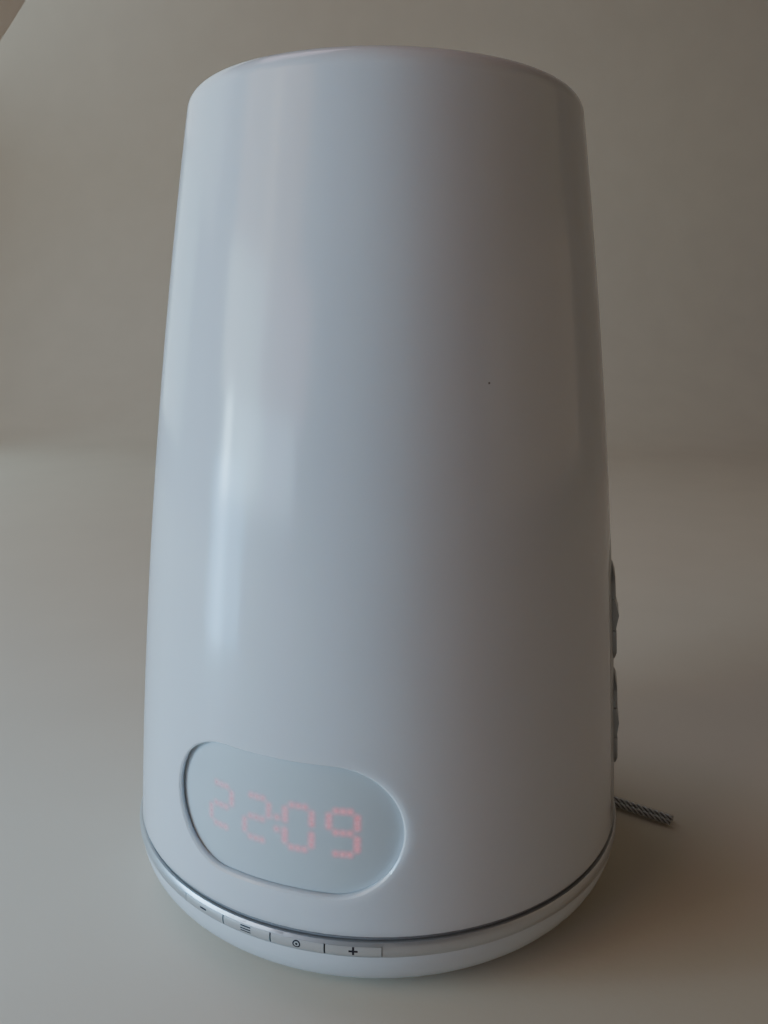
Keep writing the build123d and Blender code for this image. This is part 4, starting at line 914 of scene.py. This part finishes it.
plus = bmesh.new()
draw_bar(plus, BAR_LONG, BAR_WIDE)
draw_bar(plus, BAR_WIDE, ARM, ARM_UP)
draw_bar(plus, BAR_WIDE, ARM, -ARM_UP)
print("bars for the minus, the menu and the plus")

# %% Ring and dot
RING_INNER, RING_OUTER, RING_STEPS = 0.76, 1.16, 32
DOT_RADIUS, DOT_SIDES = 0.36, 16

select = bmesh.new()
start = [select.verts.new((radius, 0, 0)) for radius in (RING_INNER, RING_OUTER)]
edge = select.edges.new(start)
bmesh.ops.spin(
    select,
    geom=[*start, edge],
    axis=(0, 0, 1),
    cent=(0, 0, 0),
    angle=2 * math.pi,
    steps=RING_STEPS,
    use_merge=True,
)
bmesh.ops.create_circle(select, cap_ends=True, segments=DOT_SIDES, radius=DOT_RADIUS)
print("ring of", len(select.faces) - 1, "faces, and its dot")

# %% Print the four marks
FRONT_STEP = 10.65  # degrees from one front button to the next

printed_mark(minus, "minus_mark", -1.5 * FRONT_STEP, "minus_button")
printed_mark(menu, "menu_mark", -0.5 * FRONT_STEP, "menu_button")
printed_mark(select, "select_mark", 0.5 * FRONT_STEP, "select_button")
printed_mark(plus, "plus_mark", 1.5 * FRONT_STEP, "plus_button")

# %% [markdown]
# ## Floor and light
# The floor is plain and pale, and turns up into a wall behind the lamp, with a wide bevel in
# the fold, as a photographer's paper sweep does, so no edge shows. It is turned to stand
# square to the camera.

# %% Paper sweep
SWEEP_BACK = 1.5
SWEEP_HALF = 2.6
SWEEP_HIGH = 2.6
FOLD_RADIUS, FOLD_STEPS = 0.5, 24

sweep_bm = bmesh.new()
bmesh.ops.create_grid(sweep_bm, x_segments=1, y_segments=1, size=1.0)
floor_size = (SWEEP_HALF, 0.5 * (SWEEP_BACK + SWEEP_HALF), 1)
floor_middle = (0, 0.5 * (SWEEP_BACK - SWEEP_HALF), 0)
bmesh.ops.scale(sweep_bm, vec=floor_size, verts=sweep_bm.verts)
bmesh.ops.translate(sweep_bm, vec=floor_middle, verts=sweep_bm.verts)
fold = [edge for edge in sweep_bm.edges if all(v.co.y > 0 for v in edge.verts)]
raised = bmesh.ops.extrude_edge_only(sweep_bm, edges=fold)["geom"]
raised_verts = [item for item in raised if isinstance(item, bmesh.types.BMVert)]
bmesh.ops.translate(sweep_bm, vec=(0, 0, SWEEP_HIGH), verts=raised_verts)
bmesh.ops.bevel(
    sweep_bm,
    geom=fold,
    offset=FOLD_RADIUS,
    segments=FOLD_STEPS,
    profile=0.5,
    material=-1,
    affect="EDGES",
    clamp_overlap=False,
)
behind = Matrix.Rotation(math.radians(STAND_ROUND), 3, "Z")
bmesh.ops.rotate(sweep_bm, matrix=behind, verts=sweep_bm.verts)
for face in sweep_bm.faces:
    face.smooth = True
sweep_mesh = bpy.data.meshes.new("sweep")
sweep_bm.to_mesh(sweep_mesh)
sweep_bm.free()
sweep = bpy.data.objects.new("paper_sweep", sweep_mesh)
bpy.context.scene.collection.objects.link(sweep)
sweep.data.materials.append(moulded("paper_pale", (0.70, 0.64, 0.53), 0.6, 0.00005, 300.0))
print("sweep of", len(sweep_mesh.polygons), "faces")


# %% [markdown]
# ### A window in panels
# The lamp stands beside a window. A round glossy shade mirrors almost the whole room, squeezed
# into narrow streaks, so one big soft panel would leave it looking flat. The window is
# therefore cut into upright panels of light: cool ones low down, where it is mirrored in the
# table, bright posts for the sharp streaks, and warm ones above. A few wide, weak panels
# stand for the walls behind and on the right. Each is as wide as the degrees that it spans
# when seen from the lamp, and its power is in watts. The camera doesn't see the panels
# themselves, only what they light.


# %% A panel of light
LIT_HEIGHT = 0.12  # each panel is turned to this height on the lamp's axis


def light_panel(name, azimuth, distance, low, high, spans, power, colour):
    """An upright panel of light that faces the lamp, seen from the lamp at an azimuth."""
    lamp = bpy.data.lights.new(name, "AREA")
    lamp.shape = "RECTANGLE"
    lamp.size = 2 * distance * math.tan(math.radians(spans / 2))
    lamp.size_y = high - low
    lamp.energy = power
    lamp.color = colour
    panel = bpy.data.objects.new(name, lamp)
    at = round_the_lamp(distance, math.radians(azimuth), (low + high) / 2)
    towards = Vector((0, 0, LIT_HEIGHT)) - at
    aim = towards.to_track_quat("-Z", "Y").to_matrix().to_4x4()
    panel.matrix_world = Matrix.Translation(at) @ aim
    panel.visible_camera = False
    bpy.context.scene.collection.objects.link(panel)


# %% Fourteen panels
# distance, lower edge and upper edge, in metres
TABLE = (0.45, 0.002, 0.155)
LOW_PANE = (1.1, 0.10, 0.27)
HIGH_PANE = (1.1, 0.27, 0.52)
WALL = (1.1, 0.10, 0.52)
ABOVE_ALL = (1.4, 0.62, 1.3)
CEILING = (0.7, 1.3, 1.9)

PANELS = {  # azimuth, where, degrees spanned, power, colour
    "table": (-49.5, *TABLE, 18, 0.58, (0.17, 0.56, 1.0)),
    "table_post": (-52.5, *TABLE, 5, 0.24, (0.24, 0.60, 1.0)),
    "bright_post": (-56, *LOW_PANE, 4, 1.45, (0.48, 0.80, 1.0)),
    "low_pane_left": (-45, *LOW_PANE, 15, 1.79, (0.47, 0.79, 1.0)),
    "low_pane_right": (-28.5, *LOW_PANE, 18, 1.07, (0.49, 0.71, 1.0)),
    "high_pane_left": (-51, *HIGH_PANE, 24, 1.88, (0.70, 0.91, 1.0)),
    "high_pane_right": (-27, *HIGH_PANE, 24, 0.70, (1.0, 0.65, 0.66)),
    "warm_wall": (-42, *ABOVE_ALL, 42, 3.45, (1.0, 0.54, 0.17)),
    "warm_post": (-41, *ABOVE_ALL, 4, 0.40, (1.0, 0.88, 0.75)),
    "back_wall": (-108, *WALL, 32, 0.94, (0.57, 0.89, 1.0)),
    "back_high": (-108, *ABOVE_ALL, 64, 3.93, (0.71, 0.91, 1.0)),
    "right_wall": (100, *WALL, 60, 0.37, (1.0, 0.79, 0.55)),
    "right_high": (100, *ABOVE_ALL, 60, 0.47, (1.0, 0.79, 0.46)),
    "ceiling": (-100, *CEILING, 53, 2.22, (0.98, 0.78, 1.0)),
}
for name, panel in PANELS.items():
    light_panel(name, *panel)
print(len(PANELS), "panels of light")

# %% [markdown]
# The rest of the room is dim, and a little warm.

# %% Sky
SKY_COLOUR, SKY_STRENGTH = (1.0, 0.88, 0.81, 1), 0.052
world = bpy.data.worlds.new("room")
world.use_nodes = True
sky = world.node_tree.nodes["Background"]
sky.inputs["Color"].default_value = SKY_COLOUR
sky.inputs["Strength"].default_value = SKY_STRENGTH
bpy.context.scene.world = world
print("sky of strength", SKY_STRENGTH)
